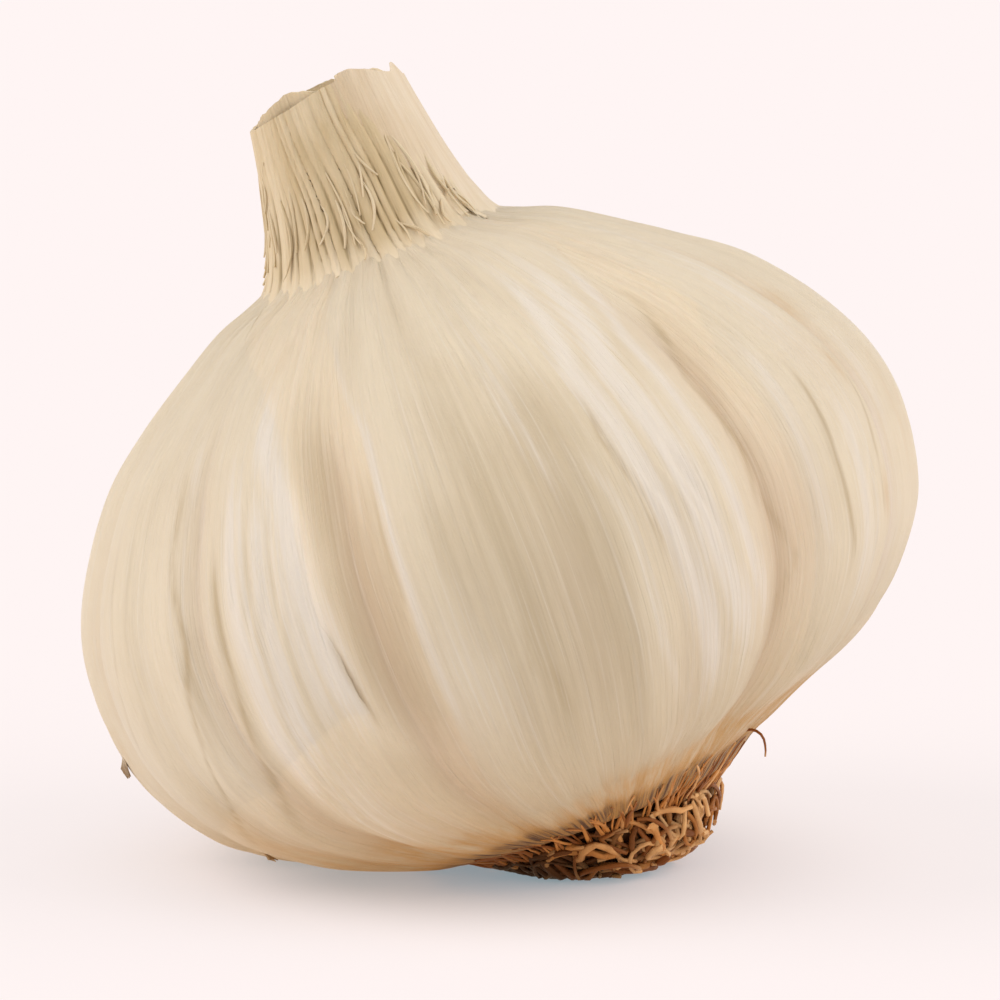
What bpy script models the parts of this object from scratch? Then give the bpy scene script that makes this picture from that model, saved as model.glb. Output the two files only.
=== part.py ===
"""A garlic bulb as it rests on a table: it leans over on one cheek and on its dried roots.

Three pieces, all set on one leaning axis:
  bulb    the cloves under their papery skins, with the inner leaf sheaths that rise into the neck
  neck    the dried outer leaf sheaths round the cut neck, torn off where the bulb swells out
  roots   the corky root plate with its tuft of trimmed, dried roots
Everything is modelled upright about the bulb's own axis, with height zero at the root end.
"""

import math
import random

import bmesh
import bpy
import numpy as np
from mathutils import Matrix, Vector

MM = 0.001

# Driving dimensions.
LEAN = math.radians(21.4)  # how far the bulb's own axis leans from upright, towards -X
ROOT_END = Vector((7.5, -0.44, 3.05)) * MM  # where the middle of the root end stands
FACING = 18.5  # degrees round the axis from -Y: angles on the skin are counted from here
CLEARANCE = 0.6 * MM

# Outlines, as (radius, height) in mm, from the axis below to the axis above.
ROOT_HOLLOW = [(0.0, 2.2), (4.0, 2.2), (7.7, 2.2), (8.8, 1.3)]
SKIN = [
    (9.7, 0.7),
    (13.0, 1.4),
    (17.1, 3.1),
    (21.2, 5.3),
    (24.6, 7.8),
    (27.2, 11.0),
    (29.1, 14.8),
    (29.9, 19.8),
    (29.35, 24.4),
    (27.3, 28.8),
    (23.8, 33.4),
    (19.7, 36.7),
    (15.6, 39.4),
    (12.6, 41.2),
    (10.2, 42.1),
    (8.6, 42.85),
    (7.25, 44.0),
    (6.25, 45.7),
    (5.55, 48.0),
    (5.1, 50.4),
    (4.7, 52.6),
    (4.4, 54.1),
]
CUT_TOP = [(4.1, 55.1), (3.3, 55.35), (2.9, 54.4), (2.3, 54.4), (2.0, 55.3), (0.0, 55.6)]
SHEATH = [
    (9.3, 43.0),
    (8.45, 43.75),
    (7.5, 44.8),
    (6.75, 46.3),
    (6.1, 48.4),
    (5.6, 50.8),
    (5.2, 52.8),
    (4.9, 54.75),
]
ROOT_MAT = [
    (0.0, 1.85),
    (7.3, 1.85),
    (8.3, 1.0),
    (8.9, 0.1),
    (8.5, -1.2),
    (6.6, -2.5),
    (3.6, -3.2),
    (0.0, -3.4),
]
# How far the bulb has settled towards the lean: (height, shift towards -X) in mm.
SWAY = [(0.8, 0), (4, 0.45), (8, 0.5), (14, 0.1), (21, -0.05), (30, 0.05), (37, 0.35), (56, 0.3)]
HOLLOW_CHEEK = 0.4 * MM  # the underside away from the lean is this much slimmer
RAISED_CHEEK = 1.2 * MM  # and its rim round the roots stands this much higher

SKIN_ROWS = 32
AROUND = 92

# The valleys between cloves: degrees from FACING, and depth in mm.
CLOVE_VALLEYS = [
    (-152, 1.1),
    (-116, 1.4),
    (-80, 1.0),
    (-47, 1.1),
    (-20, 1.2),
    (40, 1.4),
    (70, 0.9),
    (101, 1.3),
    (136, 1.1),
    (172, 1.4),
]
VALLEY_SHARPNESS = 3.2

# What is left of the white outer skin: its two side edges in degrees from FACING, and how low it
# reaches at each of them, in mm.
OUTER_SKINS = [
    (-84, -50, 5.0, 11.5),
    (-49, -26, 14.0, 15.0),
    (18, 35, 9.0, 8.0),
    (44, 96, 4.0, 7.5),
    (99, 152, 7.0, 5.0),
    (156, 204, 4.5, 10.0),
    (208, 274, 9.0, 4.0),
]
OUTER_SKIN_RISE = 0.42 * MM
SKIN_RIDGES = range(17, 30)  # how many times each wave of fine ridges repeats round the bulb
SKIN_RIDGE_HEIGHT = 0.055 * MM

SHEATH_RIBS = 26
SHEATH_RIB_HEIGHT = 0.16 * MM
SHEATH_THICKNESS = 0.62 * MM
SHEATH_ROWS = 7
TEAR_DEPTH = 0.5 * MM  # half the height of the rags along the sheath's lower edge
TEAR_TILT = 0.3 * MM  # that edge lies this much higher away from the lean
CUT_SWAY = 0.45 * MM  # the cut across the top rises and falls twice round the neck
CUT_TURN = 4.06

ROOT_COUNT = 54
ROOT_STEPS = 5
ROOT_REACH = 8.2 * MM  # the roots start inside this radius
ROOT_SPREAD = 10.3 * MM  # and stay inside this one
ROOTS_PUSHED = 0.22  # the table pushes the tuft towards +X by this share of its depth
ROOTS_CRUSHED = -6.4 * MM  # towards the lean the table leaves no room for roots past here
ROOT_THICK = 0.6 * MM
ROOT_THIN = 0.46 * MM
ROOT_STRAY = 1.6  # radians that a root's first heading may differ from straight outwards
ROOT_TURN = 0.55  # radians that it may turn at each step
ROOT_STEP = (1.0 * MM, 1.5 * MM)
ROOT_SUNK_IN = 0.5 * MM
ROOT_STANDS_OUT = (0.3 * MM, 1.2 * MM)
MAT_AROUND = 40
MAT_LUMP = 0.28 * MM
GOLDEN_ANGLE = math.radians(137.508)

SKIN_COLOUR = (0.78, 0.68, 0.53, 1.0)
SHEATH_COLOUR = (0.56, 0.45, 0.27, 1.0)
ROOT_COLOUR = (0.27, 0.12, 0.045, 1.0)


def clear_scene():
    for obj in list(bpy.data.objects):
        bpy.data.objects.remove(obj)


def finish_material(name, colour, roughness):
    material = bpy.data.materials.new(name)
    material.use_nodes = True
    shader = material.node_tree.nodes["Principled BSDF"]
    shader.inputs["Base Color"].default_value = colour
    shader.inputs["Roughness"].default_value = roughness
    shader.inputs["Metallic"].default_value = 0.0
    return material


def smooth_line(points, count):
    """A Catmull-Rom curve through the points (mm), read at count places evenly spaced along it (m)."""
    knots = np.array(points, float) * MM
    knots = np.vstack([2 * knots[0] - knots[1], knots, 2 * knots[-1] - knots[-2]])
    dense = []
    for a, b, c, d in zip(knots, knots[1:], knots[2:], knots[3:]):
        for t in np.linspace(0, 1, 24, endpoint=False):
            bend = (2 * a - 5 * b + 4 * c - d) * t**2 + (3 * b - a - 3 * c + d) * t**3
            dense.append(0.5 * (2 * b + (c - a) * t + bend))
    dense = np.array(dense + [knots[-2]])
    run = np.concatenate([[0], np.cumsum(np.linalg.norm(np.diff(dense, axis=0), axis=1))])
    places = np.linspace(0, run[-1], count)
    return np.column_stack([np.interp(places, run, dense[:, k]) for k in (0, 1)])


def fade(value, start, end):
    """0 before start, 1 after end, and smooth between."""
    t = np.clip((value - start) / (end - start), 0, 1)
    return t * t * (3 - 2 * t)


def skin_degrees(points):
    """Each point's angle round the axis in degrees from FACING, from -180 to 180."""
    degrees = np.degrees(np.arctan2(points[:, 0], -points[:, 1])) - FACING
    return (degrees + 180) % 360 - 180


def settled(points):
    """The points once the bulb has leant over: shifted that way, slimmer and raised under the far side."""
    height = points[:, 2]
    angle = np.arctan2(points[:, 1], points[:, 0])
    spread = np.hypot(points[:, 0], points[:, 1])
    far_side = (0.5 + 0.5 * np.cos(angle)) ** 2
    under = fade(height, 1 * MM, 4 * MM) * (1 - fade(height, 6 * MM, 13 * MM))
    under *= fade(spread, 9.8 * MM, 14 * MM) * far_side
    slim = 1 - HOLLOW_CHEEK * under / np.maximum(spread, 1 * MM)
    rim = fade(spread, 9.8 * MM, 13 * MM) * (1 - fade(height, 2 * MM, 7 * MM)) * far_side
    heights, shifts = np.array(SWAY).T * MM
    shift = np.interp(height, heights, shifts)
    return np.column_stack([points[:, 0] * slim - shift, points[:, 1] * slim, height + RAISED_CHEEK * rim])


def clove_valleys(degrees, height):
    """How far the skin sinks between the cloves, in metres."""
    places = np.array([place for place, _ in CLOVE_VALLEYS], float)
    depths = np.array([depth for _, depth in CLOVE_VALLEYS], float) * MM
    after = np.searchsorted(places, degrees) % len(places)
    before = (after - 1) % len(places)
    width = (places[after] - places[before]) % 360
    share = ((degrees - places[before]) % 360) / width
    depth = np.where(share < 0.5, depths[before], depths[after])
    ends = fade(height, 0.5 * MM, 5 * MM) * (1 - fade(height, 31 * MM, 41 * MM))
    return depth * ends * np.abs(2 * share - 1) ** VALLEY_SHARPNESS


def outer_skins(degrees, height):
    """1 where the white outer skin still lies over the inner one, else 0, with a short slope between."""
    cover = np.zeros_like(degrees)
    for first, last, low_first, low_last in OUTER_SKINS:
        middle, half = (first + last) / 2, (last - first) / 2
        off = (degrees - middle + 180) % 360 - 180
        patch = 1 - fade(np.abs(off), half - 2.5, half)
        lowest = (low_first + (low_last - low_first) * np.clip(0.5 + 0.5 * off / half, 0, 1)) * MM
        cover = np.maximum(cover, patch * fade(height, lowest, lowest + 1.5 * MM))
    return cover * (1 - fade(height, 36 * MM, 40 * MM))


def fine_ridges(degrees, height):
    """Long ridges that run from the roots to the neck, as a sum of waves round the bulb."""
    draw = random.Random(7)
    relief = np.zeros_like(degrees)
    for waves in SKIN_RIDGES:
        phase, sway = draw.uniform(0, math.tau), draw.uniform(-20, 20)
        relief += SKIN_RIDGE_HEIGHT * np.cos(waves * np.radians(degrees) + phase + sway * height)
    return relief * fade(height, 1 * MM, 5 * MM) * (1 - fade(height, 34 * MM, 41 * MM))


def node_object(name, mesh, material, collection, axis):
    mesh.materials.clear()
    mesh.materials.append(material)
    mesh.shade_smooth()
    mesh.set_sharp_from_angle(angle=math.radians(50))
    obj = bpy.data.objects.new(name, mesh)
    collection.objects.link(obj)
    obj.parent = axis
    return obj


def turned_mesh(name, outline, steps):
    """The outline turned about Z by a Screw modifier, as a mesh of its own."""
    line = bpy.data.meshes.new(name + "_line")
    edges = [(k, k + 1) for k in range(len(outline) - 1)]
    line.from_pydata([(radius, 0, height) for radius, height in outline], edges, [])
    obj = bpy.data.objects.new(name + "_line", line)
    bpy.context.scene.collection.objects.link(obj)
    screw = obj.modifiers.new("turn", "SCREW")
    screw.steps = screw.render_steps = steps
    screw.use_merge_vertices = True
    screw.merge_threshold = 0.00001
    screw.use_normal_calculate = True
    graph = bpy.context.evaluated_depsgraph_get()
    mesh = bpy.data.meshes.new_from_object(obj.evaluated_get(graph))
    bpy.data.objects.remove(obj)
    mesh.name = name
    return mesh


def read_points(mesh):
    points = np.empty(len(mesh.vertices) * 3, np.float32)
    mesh.vertices.foreach_get("co", points)
    return points.reshape(-1, 3).astype(float)


def write_points(mesh, points):
    mesh.vertices.foreach_set("co", points.astype(np.float32).ravel())
    mesh.update()


def outward_of(outline, points):
    """For each point, the unit outward direction of the outline where it was turned from."""
    along = np.gradient(outline, axis=0)
    along /= np.linalg.norm(along, axis=1)[:, None]
    radius = np.hypot(points[:, 0], points[:, 1])
    place = ((radius[:, None] - outline[:, 0]) ** 2 + (points[:, 2:3] - outline[:, 1]) ** 2).argmin(axis=1)
    out = np.column_stack([along[place, 1], -along[place, 0]])
    unit = points[:, :2] / np.maximum(radius, 1e-9)[:, None]
    return np.column_stack([unit[:, 0] * out[:, 0], unit[:, 1] * out[:, 0], out[:, 1]])


def crumbs(cut):
    """The points of every loose body but the largest: bits that a cut left behind."""
    bodies = []
    left = dict.fromkeys(cut.verts)
    while left:
        body = [next(iter(left))]
        del left[body[0]]
        for vert in body:
            for edge in vert.link_edges:
                other = edge.other_vert(vert)
                if other in left:
                    del left[other]
                    body.append(other)
        bodies.append(body)
    bodies.sort(key=len)
    return [vert for body in bodies[:-1] for vert in body]


def rest_on_table(mesh, axis):
    """Cuts off what would sink into the table, so that the piece rests on a small flat spot."""
    to_mesh = axis.matrix_world.inverted()
    table_point = to_mesh @ Vector((0, 0, 0))
    table_up = to_mesh.to_3x3() @ Vector((0, 0, 1))
    cut = bmesh.new()
    cut.from_mesh(mesh)
    everything = cut.verts[:] + cut.edges[:] + cut.faces[:]
    made = bmesh.ops.bisect_plane(
        cut, geom=everything, dist=1e-8, plane_co=table_point, plane_no=table_up, clear_inner=True
    )
    rim = [part for part in made["geom_cut"] if isinstance(part, bmesh.types.BMEdge)]
    bmesh.ops.holes_fill(cut, edges=rim, sides=0)
    bmesh.ops.delete(cut, geom=crumbs(cut), context="VERTS")
    bmesh.ops.recalc_face_normals(cut, faces=cut.faces[:])
    cut.to_mesh(mesh)
    cut.free()


def build_bulb(material, collection, axis):
    skin = smooth_line(SKIN, SKIN_ROWS)
    outline = np.vstack([np.array(ROOT_HOLLOW) * MM, skin, np.array(CUT_TOP) * MM])
    mesh = turned_mesh("bulb", outline, AROUND)
    points = read_points(mesh)
    degrees, height = skin_degrees(points), points[:, 2]
    on_skin = np.hypot(points[:, 0], points[:, 1]) > 9.8 * MM
    rise = OUTER_SKIN_RISE * outer_skins(degrees, height)
    rise += fine_ridges(degrees, height) - clove_valleys(degrees, height)
    points += outward_of(outline, points) * (rise * on_skin)[:, None]
    write_points(mesh, settled(points))
    rest_on_table(mesh, axis)
    return node_object("bulb", mesh, material, collection, axis)


def build_neck(material, collection, axis):
    """One corrugated sleeve of dried leaf sheaths, ragged below and cut across above."""
    outline = smooth_line(SHEATH, SHEATH_ROWS)
    mesh = turned_mesh("neck", outline, SHEATH_RIBS * 3)
    points = read_points(mesh)
    angle = np.arctan2(points[:, 1], points[:, 0])
    share = (points[:, 2] - outline[0, 1]) / (outline[-1, 1] - outline[0, 1])
    rags = 1 + np.sin(5 * angle + 0.6) * np.cos(11 * angle)
    tear = (TEAR_DEPTH * rags + TEAR_TILT * (1 + np.cos(angle))) * (1 - fade(share, 0, 0.5))
    cut = CUT_SWAY * np.sin(2 * angle + CUT_TURN) * fade(share, 0.6, 1)
    height = points[:, 2] + tear + cut
    radius = np.interp(height, outline[:, 1], outline[:, 0])
    radius += SHEATH_RIB_HEIGHT * np.cos(SHEATH_RIBS * angle + 1.4 * np.sin(3 * angle))
    write_points(mesh, settled(np.column_stack([radius * np.cos(angle), radius * np.sin(angle), height])))
    neck = node_object("neck", mesh, material, collection, axis)
    wall = neck.modifiers.new("sheath thickness", "SOLIDIFY")
    wall.thickness = SHEATH_THICKNESS
    wall.offset = 1.0
    return neck


def root_path(number, draw, under_skin, table):
    """Points of one root: out of the mat, over its underside, and held off the skin and the table."""
    place = Vector((ROOT_REACH * math.sqrt((number + 0.5) / ROOT_COUNT), 0, 0))
    around = number * GOLDEN_ANGLE
    place.rotate(Matrix.Rotation(around, 3, "Z"))
    heading = around + draw.uniform(-ROOT_STRAY, ROOT_STRAY)
    turn = draw.uniform(-ROOT_TURN, ROOT_TURN)
    step = draw.uniform(*ROOT_STEP)
    stand_out = draw.uniform(*ROOT_STANDS_OUT)
    underside = np.array(ROOT_MAT[:1:-1]) * MM
    path = []
    for k in range(ROOT_STEPS):
        share = k / (ROOT_STEPS - 1)
        thick = ROOT_THICK + (ROOT_THIN - ROOT_THICK) * share
        spread = math.hypot(place.x, place.y)
        if spread > ROOT_SPREAD:
            place.xy *= ROOT_SPREAD / spread
        place.x = max(place.x, ROOTS_CRUSHED)
        place.z = float(np.interp(spread, underside[:, 0], underside[:, 1]))
        place.z += ROOT_SUNK_IN - (ROOT_SUNK_IN + stand_out) * share
        below = 0.5 * thick - (table @ place).z
        if below > 0:
            place.z += below / math.cos(LEAN)
        ceiling = float(np.interp(spread, under_skin[:, 0], under_skin[:, 1])) - thick - CLEARANCE
        place.z = min(place.z, ceiling)
        path.append((place + Vector((ROOTS_PUSHED * max(-place.z, 0), 0, 0)), thick))
        heading += turn
        place = place + Vector((math.cos(heading), math.sin(heading), 0)) * step
    return path


def build_roots(material, collection, axis):
    draw = random.Random(21)
    outline = np.array(ROOT_MAT[::-1]) * MM
    mat = turned_mesh("roots", outline, MAT_AROUND)
    points = read_points(mat)
    angle, spread = np.arctan2(points[:, 1], points[:, 0]), np.hypot(points[:, 0], points[:, 1])
    lumps = np.sin(5 * angle + 0.7) * np.cos(900 * spread) + 0.7 * np.sin(9 * angle + 700 * spread)
    points[:, 2] -= MAT_LUMP * lumps * (1 - fade(points[:, 2], -1.5 * MM, 0)) * fade(spread, 0, 3 * MM)
    points[:, 0] += ROOTS_PUSHED * np.maximum(-points[:, 2], 0)
    write_points(mat, points)
    plate = bpy.data.objects.new("roots", mat)
    collection.objects.link(plate)
    strands = bpy.data.collections.new("root strands")
    bpy.context.scene.collection.children.link(strands)
    skin = smooth_line(SKIN, 60)
    under_skin = np.vstack([(0, -0.1 * MM), (8.7 * MM, 0.4 * MM), skin[:18]])
    for number in range(ROOT_COUNT):
        curve = bpy.data.curves.new(f"root_{number}", "CURVE")
        curve.dimensions = "3D"
        curve.bevel_depth = 1.0
        curve.bevel_resolution = 1
        curve.use_fill_caps = True
        path = root_path(number, draw, under_skin, axis.matrix_world)
        spline = curve.splines.new("POLY")
        spline.points.add(len(path) - 1)
        for point, (place, thick) in zip(spline.points, path):
            point.co = (*place, 1.0)
            point.radius = thick
        strand_curve = bpy.data.objects.new(f"root_{number}", curve)
        bpy.context.scene.collection.objects.link(strand_curve)
        graph = bpy.context.evaluated_depsgraph_get()
        mesh = bpy.data.meshes.new_from_object(strand_curve.evaluated_get(graph))
        bpy.data.objects.remove(strand_curve)
        weld = bmesh.new()
        weld.from_mesh(mesh)
        bmesh.ops.remove_doubles(weld, verts=weld.verts[:], dist=0.00001)
        weld.to_mesh(mesh)
        weld.free()
        strands.objects.link(bpy.data.objects.new(f"root_{number}", mesh))
    union = plate.modifiers.new("roots", "BOOLEAN")
    union.operation = "UNION"
    union.operand_type = "COLLECTION"
    union.collection = strands
    union.solver = "MANIFOLD"
    graph = bpy.context.evaluated_depsgraph_get()
    mesh = bpy.data.meshes.new_from_object(plate.evaluated_get(graph))
    for strand in list(strands.objects):
        bpy.data.objects.remove(strand)
    bpy.data.collections.remove(strands)
    bpy.data.objects.remove(plate)
    rest_on_table(mesh, axis)
    return node_object("roots", mesh, material, collection, axis)


def main():
    clear_scene()
    collection = bpy.data.collections.new("garlic bulb")
    bpy.context.scene.collection.children.link(collection)
    axis = bpy.data.objects.new("bulb_axis", None)
    collection.objects.link(axis)
    axis.location = ROOT_END
    axis.rotation_euler = (0, -LEAN, 0)
    bpy.context.view_layer.update()
    build_bulb(finish_material("papery skin", SKIN_COLOUR, 0.55), collection, axis)
    build_neck(finish_material("dried sheath", SHEATH_COLOUR, 0.7), collection, axis)
    build_roots(finish_material("dried root", ROOT_COLOUR, 0.8), collection, axis)


main()
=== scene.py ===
# %% [markdown]
# # A garlic bulb, built in cells
#
# A dried garlic bulb lies on a table. It leans over on one cheek and on its tuft of dried roots.
# The solid model already has the right size and place, and it comes in as a fixed frame. This file
# dresses it: a finely veined inner skin, torn papery skins over it, a fibrous neck and a root tuft.
#
# The frame is loaded first, because every later piece is placed on it.

import math
import random

import bpy
import numpy as np
from mathutils import Matrix, Vector


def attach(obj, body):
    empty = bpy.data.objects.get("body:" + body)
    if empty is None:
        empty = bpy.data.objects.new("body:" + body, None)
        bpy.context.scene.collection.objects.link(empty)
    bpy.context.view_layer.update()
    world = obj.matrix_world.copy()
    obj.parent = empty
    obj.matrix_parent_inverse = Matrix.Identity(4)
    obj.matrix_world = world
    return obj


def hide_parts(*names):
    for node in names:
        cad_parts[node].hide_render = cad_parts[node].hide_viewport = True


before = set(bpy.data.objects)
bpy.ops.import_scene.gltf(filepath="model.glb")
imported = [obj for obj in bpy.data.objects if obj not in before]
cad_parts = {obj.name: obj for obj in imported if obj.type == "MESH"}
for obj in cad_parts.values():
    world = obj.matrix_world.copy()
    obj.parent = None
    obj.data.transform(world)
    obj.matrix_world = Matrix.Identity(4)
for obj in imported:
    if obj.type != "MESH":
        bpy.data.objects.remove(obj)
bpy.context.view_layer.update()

# %% [markdown]
# ## The shape that all skins share
#
# A bulb is close to a turned shape, so one outline carries everything: radius against height, up the
# bulb's own axis, with height zero at the root end. The same outline made the solid, so what is laid
# on it here fits the solid without any adjusting. Angles are counted in degrees round the bulb from
# the side that faces the camera, positive to the right.
#
# The whole axis leans. A point is worked out upright, then leant, then pressed on the table.

# %% Measures of the bulb
MM = 0.001
LEAN = math.radians(21.4)
ROOT_END = Vector((7.5, -0.44, 3.05)) * MM
FACING = 18.5
SKIN = [
    (9.7, 0.7),
    (13.0, 1.4),
    (17.1, 3.1),
    (21.2, 5.3),
    (24.6, 7.8),
    (27.2, 11.0),
    (29.1, 14.8),
    (29.9, 19.8),
    (29.35, 24.4),
    (27.3, 28.8),
    (23.8, 33.4),
    (19.7, 36.7),
    (15.6, 39.4),
    (12.6, 41.2),
    (10.2, 42.1),
    (8.6, 42.85),
    (7.25, 44.0),
    (6.25, 45.7),
]
NECK_LINE = [
    (10.6, 42.05),
    (9.3, 42.75),
    (8.3, 43.6),
    (7.5, 45.0),
    (6.95, 46.8),
    (6.5, 48.7),
    (6.1, 50.8),
    (5.75, 52.8),
    (5.45, 54.8),
    (5.15, 57.2),
]
NECK_TOP = 54.8 * MM
SWAY = [(0.8, 0), (4, 0.45), (8, 0.5), (14, 0.1), (21, -0.05), (30, 0.05), (37, 0.35), (56, 0.3)]
HOLLOW_CHEEK = 0.4 * MM
RAISED_CHEEK = 1.2 * MM
PRESS = 0.5 * MM  # over this depth the skins are squeezed flat where they meet the table


def smooth_line(points, count):
    """A Catmull-Rom curve through the points (mm), read at count places evenly spaced along it (m)."""
    knots = np.array(points, float) * MM
    knots = np.vstack([2 * knots[0] - knots[1], knots, 2 * knots[-1] - knots[-2]])
    dense = []
    for a, b, c, d in zip(knots, knots[1:], knots[2:], knots[3:]):
        for t in np.linspace(0, 1, 24, endpoint=False):
            bend = (2 * a - 5 * b + 4 * c - d) * t**2 + (3 * b - a - 3 * c + d) * t**3
            dense.append(0.5 * (2 * b + (c - a) * t + bend))
    dense = np.array(dense + [knots[-2]])
    run = distances(dense)
    places = np.linspace(0, run[-1], count)
    return np.column_stack([np.interp(places, run, dense[:, k]) for k in range(dense.shape[1])])


def distances(line):
    """How far along a line each of its points lies."""
    return np.concatenate([[0], np.cumsum(np.linalg.norm(np.diff(line, axis=0), axis=1))])


def fade(value, start, end):
    """0 before start, 1 after end, and smooth between."""
    t = np.clip((value - start) / (end - start), 0, 1)
    return t * t * (3 - 2 * t)


def within(height, start, full, last, end):
    """1 between two heights (mm), 0 below the first and above the last, and smooth between."""
    return fade(height, start * MM, full * MM) * (1 - fade(height, last * MM, end * MM))


skin_line = smooth_line(SKIN, 1200)
neck_line = smooth_line(NECK_LINE, 300)
print("skin, from roots to neck:", round(distances(skin_line)[-1] * 1000, 1), "mm")


# %% From a place on the outline to a place in the world
def settled(points):
    """The points once the bulb has leant over: shifted that way, slimmer and raised under the far side."""
    height = points[:, 2]
    angle = np.arctan2(points[:, 1], points[:, 0])
    spread = np.hypot(points[:, 0], points[:, 1])
    far_side = (0.5 + 0.5 * np.cos(angle)) ** 2
    under = fade(height, 1 * MM, 4 * MM) * (1 - fade(height, 6 * MM, 13 * MM))
    under *= fade(spread, 9.8 * MM, 14 * MM) * far_side
    slim = 1 - HOLLOW_CHEEK * under / np.maximum(spread, 1 * MM)
    rim = fade(spread, 9.8 * MM, 13 * MM) * (1 - fade(height, 2 * MM, 7 * MM)) * far_side
    heights, shifts = np.array(SWAY).T * MM
    shift = np.interp(height, heights, shifts)
    return np.column_stack([points[:, 0] * slim - shift, points[:, 1] * slim, height + RAISED_CHEEK * rim])


def leant(points):
    """Points on the upright axis, leant over and pressed on the table."""
    turn = np.array(Matrix.Rotation(-LEAN, 3, "Y"))
    world = points @ turn.T + np.array(ROOT_END)
    low = world[:, 2] < PRESS
    world[low, 2] = PRESS * np.exp((world[low, 2] - PRESS) / PRESS)
    return world


def on_line(line, run):
    """Radius, height and outward direction at distances along an outline."""
    along = distances(line)
    slope = np.gradient(line, along, axis=0)
    radius, height = [np.interp(run, along, line[:, k]) for k in (0, 1)]
    out_radius, out_height = np.interp(run, along, slope[:, 1]), -np.interp(run, along, slope[:, 0])
    size = np.hypot(out_radius, out_height)
    return radius, height, out_radius / size, out_height / size


def round_axis(radius, angle, height):
    """Upright points at a radius, at an angle from straight ahead, and at a height."""
    return np.column_stack([radius * np.sin(angle), -radius * np.cos(angle), height])


def turned(line, run, degrees, lift):
    """World points at distances along an outline, turned by degrees and lifted off it."""
    radius, height, out_radius, out_height = on_line(line, run)
    angle = np.radians(degrees + FACING)
    return leant(settled(round_axis(radius + out_radius * lift, angle, height + out_height * lift)))


def run_at(line, height):
    """The distance along an outline where it reaches a height (m)."""
    return np.interp(height, line[:, 1], distances(line))


# %% [markdown]
# ## Strokes along the skin
#
# Nearly every mark on a bulb follows its veins: silvery streaks where skins lie double, tan streaks
# where a single thin skin lies close on a clove, brown creases, and places where the skin is
# crinkled. Each is kept as a stroke with its own path up the skin, width and strength. The ones in
# front were placed one by one. The hidden side gets its own from a fixed seed.
# The brown of the creases is partly a real line and partly painted shade in the crease.

# %% Strokes
# Each stroke is (path, half width in degrees, strength), and a path is a list of (height mm, degrees).
SILVER_STROKES = [
    ([(11, -40), (20, -38.2), (33, -38)], 2.4, 0.85),
    ([(13, -35.5), (20, -33.8), (31, -33.2)], 1.6, 0.8),
    ([(15, -25.8), (22, -26.6), (30, -28.6), (37, -34)], 2.4, 1.0),
    ([(15, -29.8), (24, -30), (33, -31.5)], 1.4, 0.7),
    ([(22, -45.5), (30, -46), (36, -50)], 1.3, 0.4),
    ([(12, -13.2), (24, -13), (33, -13.4), (39, -19)], 1.2, 0.55),
    ([(10, -6), (16, -8.5), (22, -9)], 3.2, 0.35),
    ([(8, 20.5), (13, 17.6), (22, 17.2), (27, 15)], 1.1, 0.5),
    ([(8, 27), (16, 24), (25, 22.4), (32, 21.5), (39, 27)], 2.3, 0.9),
    ([(10, 32), (17, 28.8), (24, 27.6), (31, 26.6), (39, 34)], 2.6, 1.0),
    ([(11, 36.5), (18, 33.6), (26, 32.6), (33, 34), (39, 43)], 1.8, 0.85),
    ([(24, 12), (31, 9.5), (39, 13)], 2.4, 0.35),
    ([(26, 58), (33, 62), (38, 68)], 4.0, 0.5),
    ([(14, 48), (22, 47.5), (29, 49)], 1.5, 0.55),
    ([(9, 60), (16, 58.5), (24, 59.5)], 2.6, 0.6),
    ([(8, 72), (18, 70), (27, 74)], 3.0, 0.5),
    ([(10, -80), (20, -78), (34, -82)], 8.0, 0.35),
    ([(4, -30), (8, -33), (12, -33)], 6.0, 0.3),
]
TAN_STROKES = [
    ([(11, -18), (18, -19.5), (26, -19.5), (36, -25)], 4.6, 0.85),
    ([(18, -15.7), (24, -15.6), (31, -16.2)], 1.6, 0.5),
    ([(7, 6), (14, 7), (22, 8), (33, 8)], 13.0, 0.75),
    ([(5, 6), (10, 12), (14, 16)], 9.0, 0.5),
    ([(14, -6), (22, -6), (30, -7)], 5.0, 0.45),
    ([(24, 6), (30, 4), (36, 4)], 11.0, 0.5),
    ([(3, -52), (8, -56), (12, -60)], 7.0, 0.6),
    ([(8, 40), (16, 40.5), (25, 39.5), (33, 42)], 2.6, 0.75),
    ([(6, -46), (12, -45), (20, -43.5), (28, -43)], 1.6, 0.55),
    ([(10, -36.8), (18, -35.9), (26, -35)], 0.9, 0.5),
    ([(14, -32), (19, -31.6), (25, -31)], 0.8, 0.45),
    ([(6, -57), (14, -52.5), (24, -48.6)], 1.8, 0.45),
    ([(7, -20), (10, -24), (13, -30)], 8.0, 0.6),
    ([(12, 54), (20, 52.6), (27, 54.5)], 1.2, 0.45),
    ([(14, -66), (22, -62), (31, -63)], 1.4, 0.3),
    ([(9, 25), (12, 22), (15, 21)], 1.2, 0.3),
]
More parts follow.
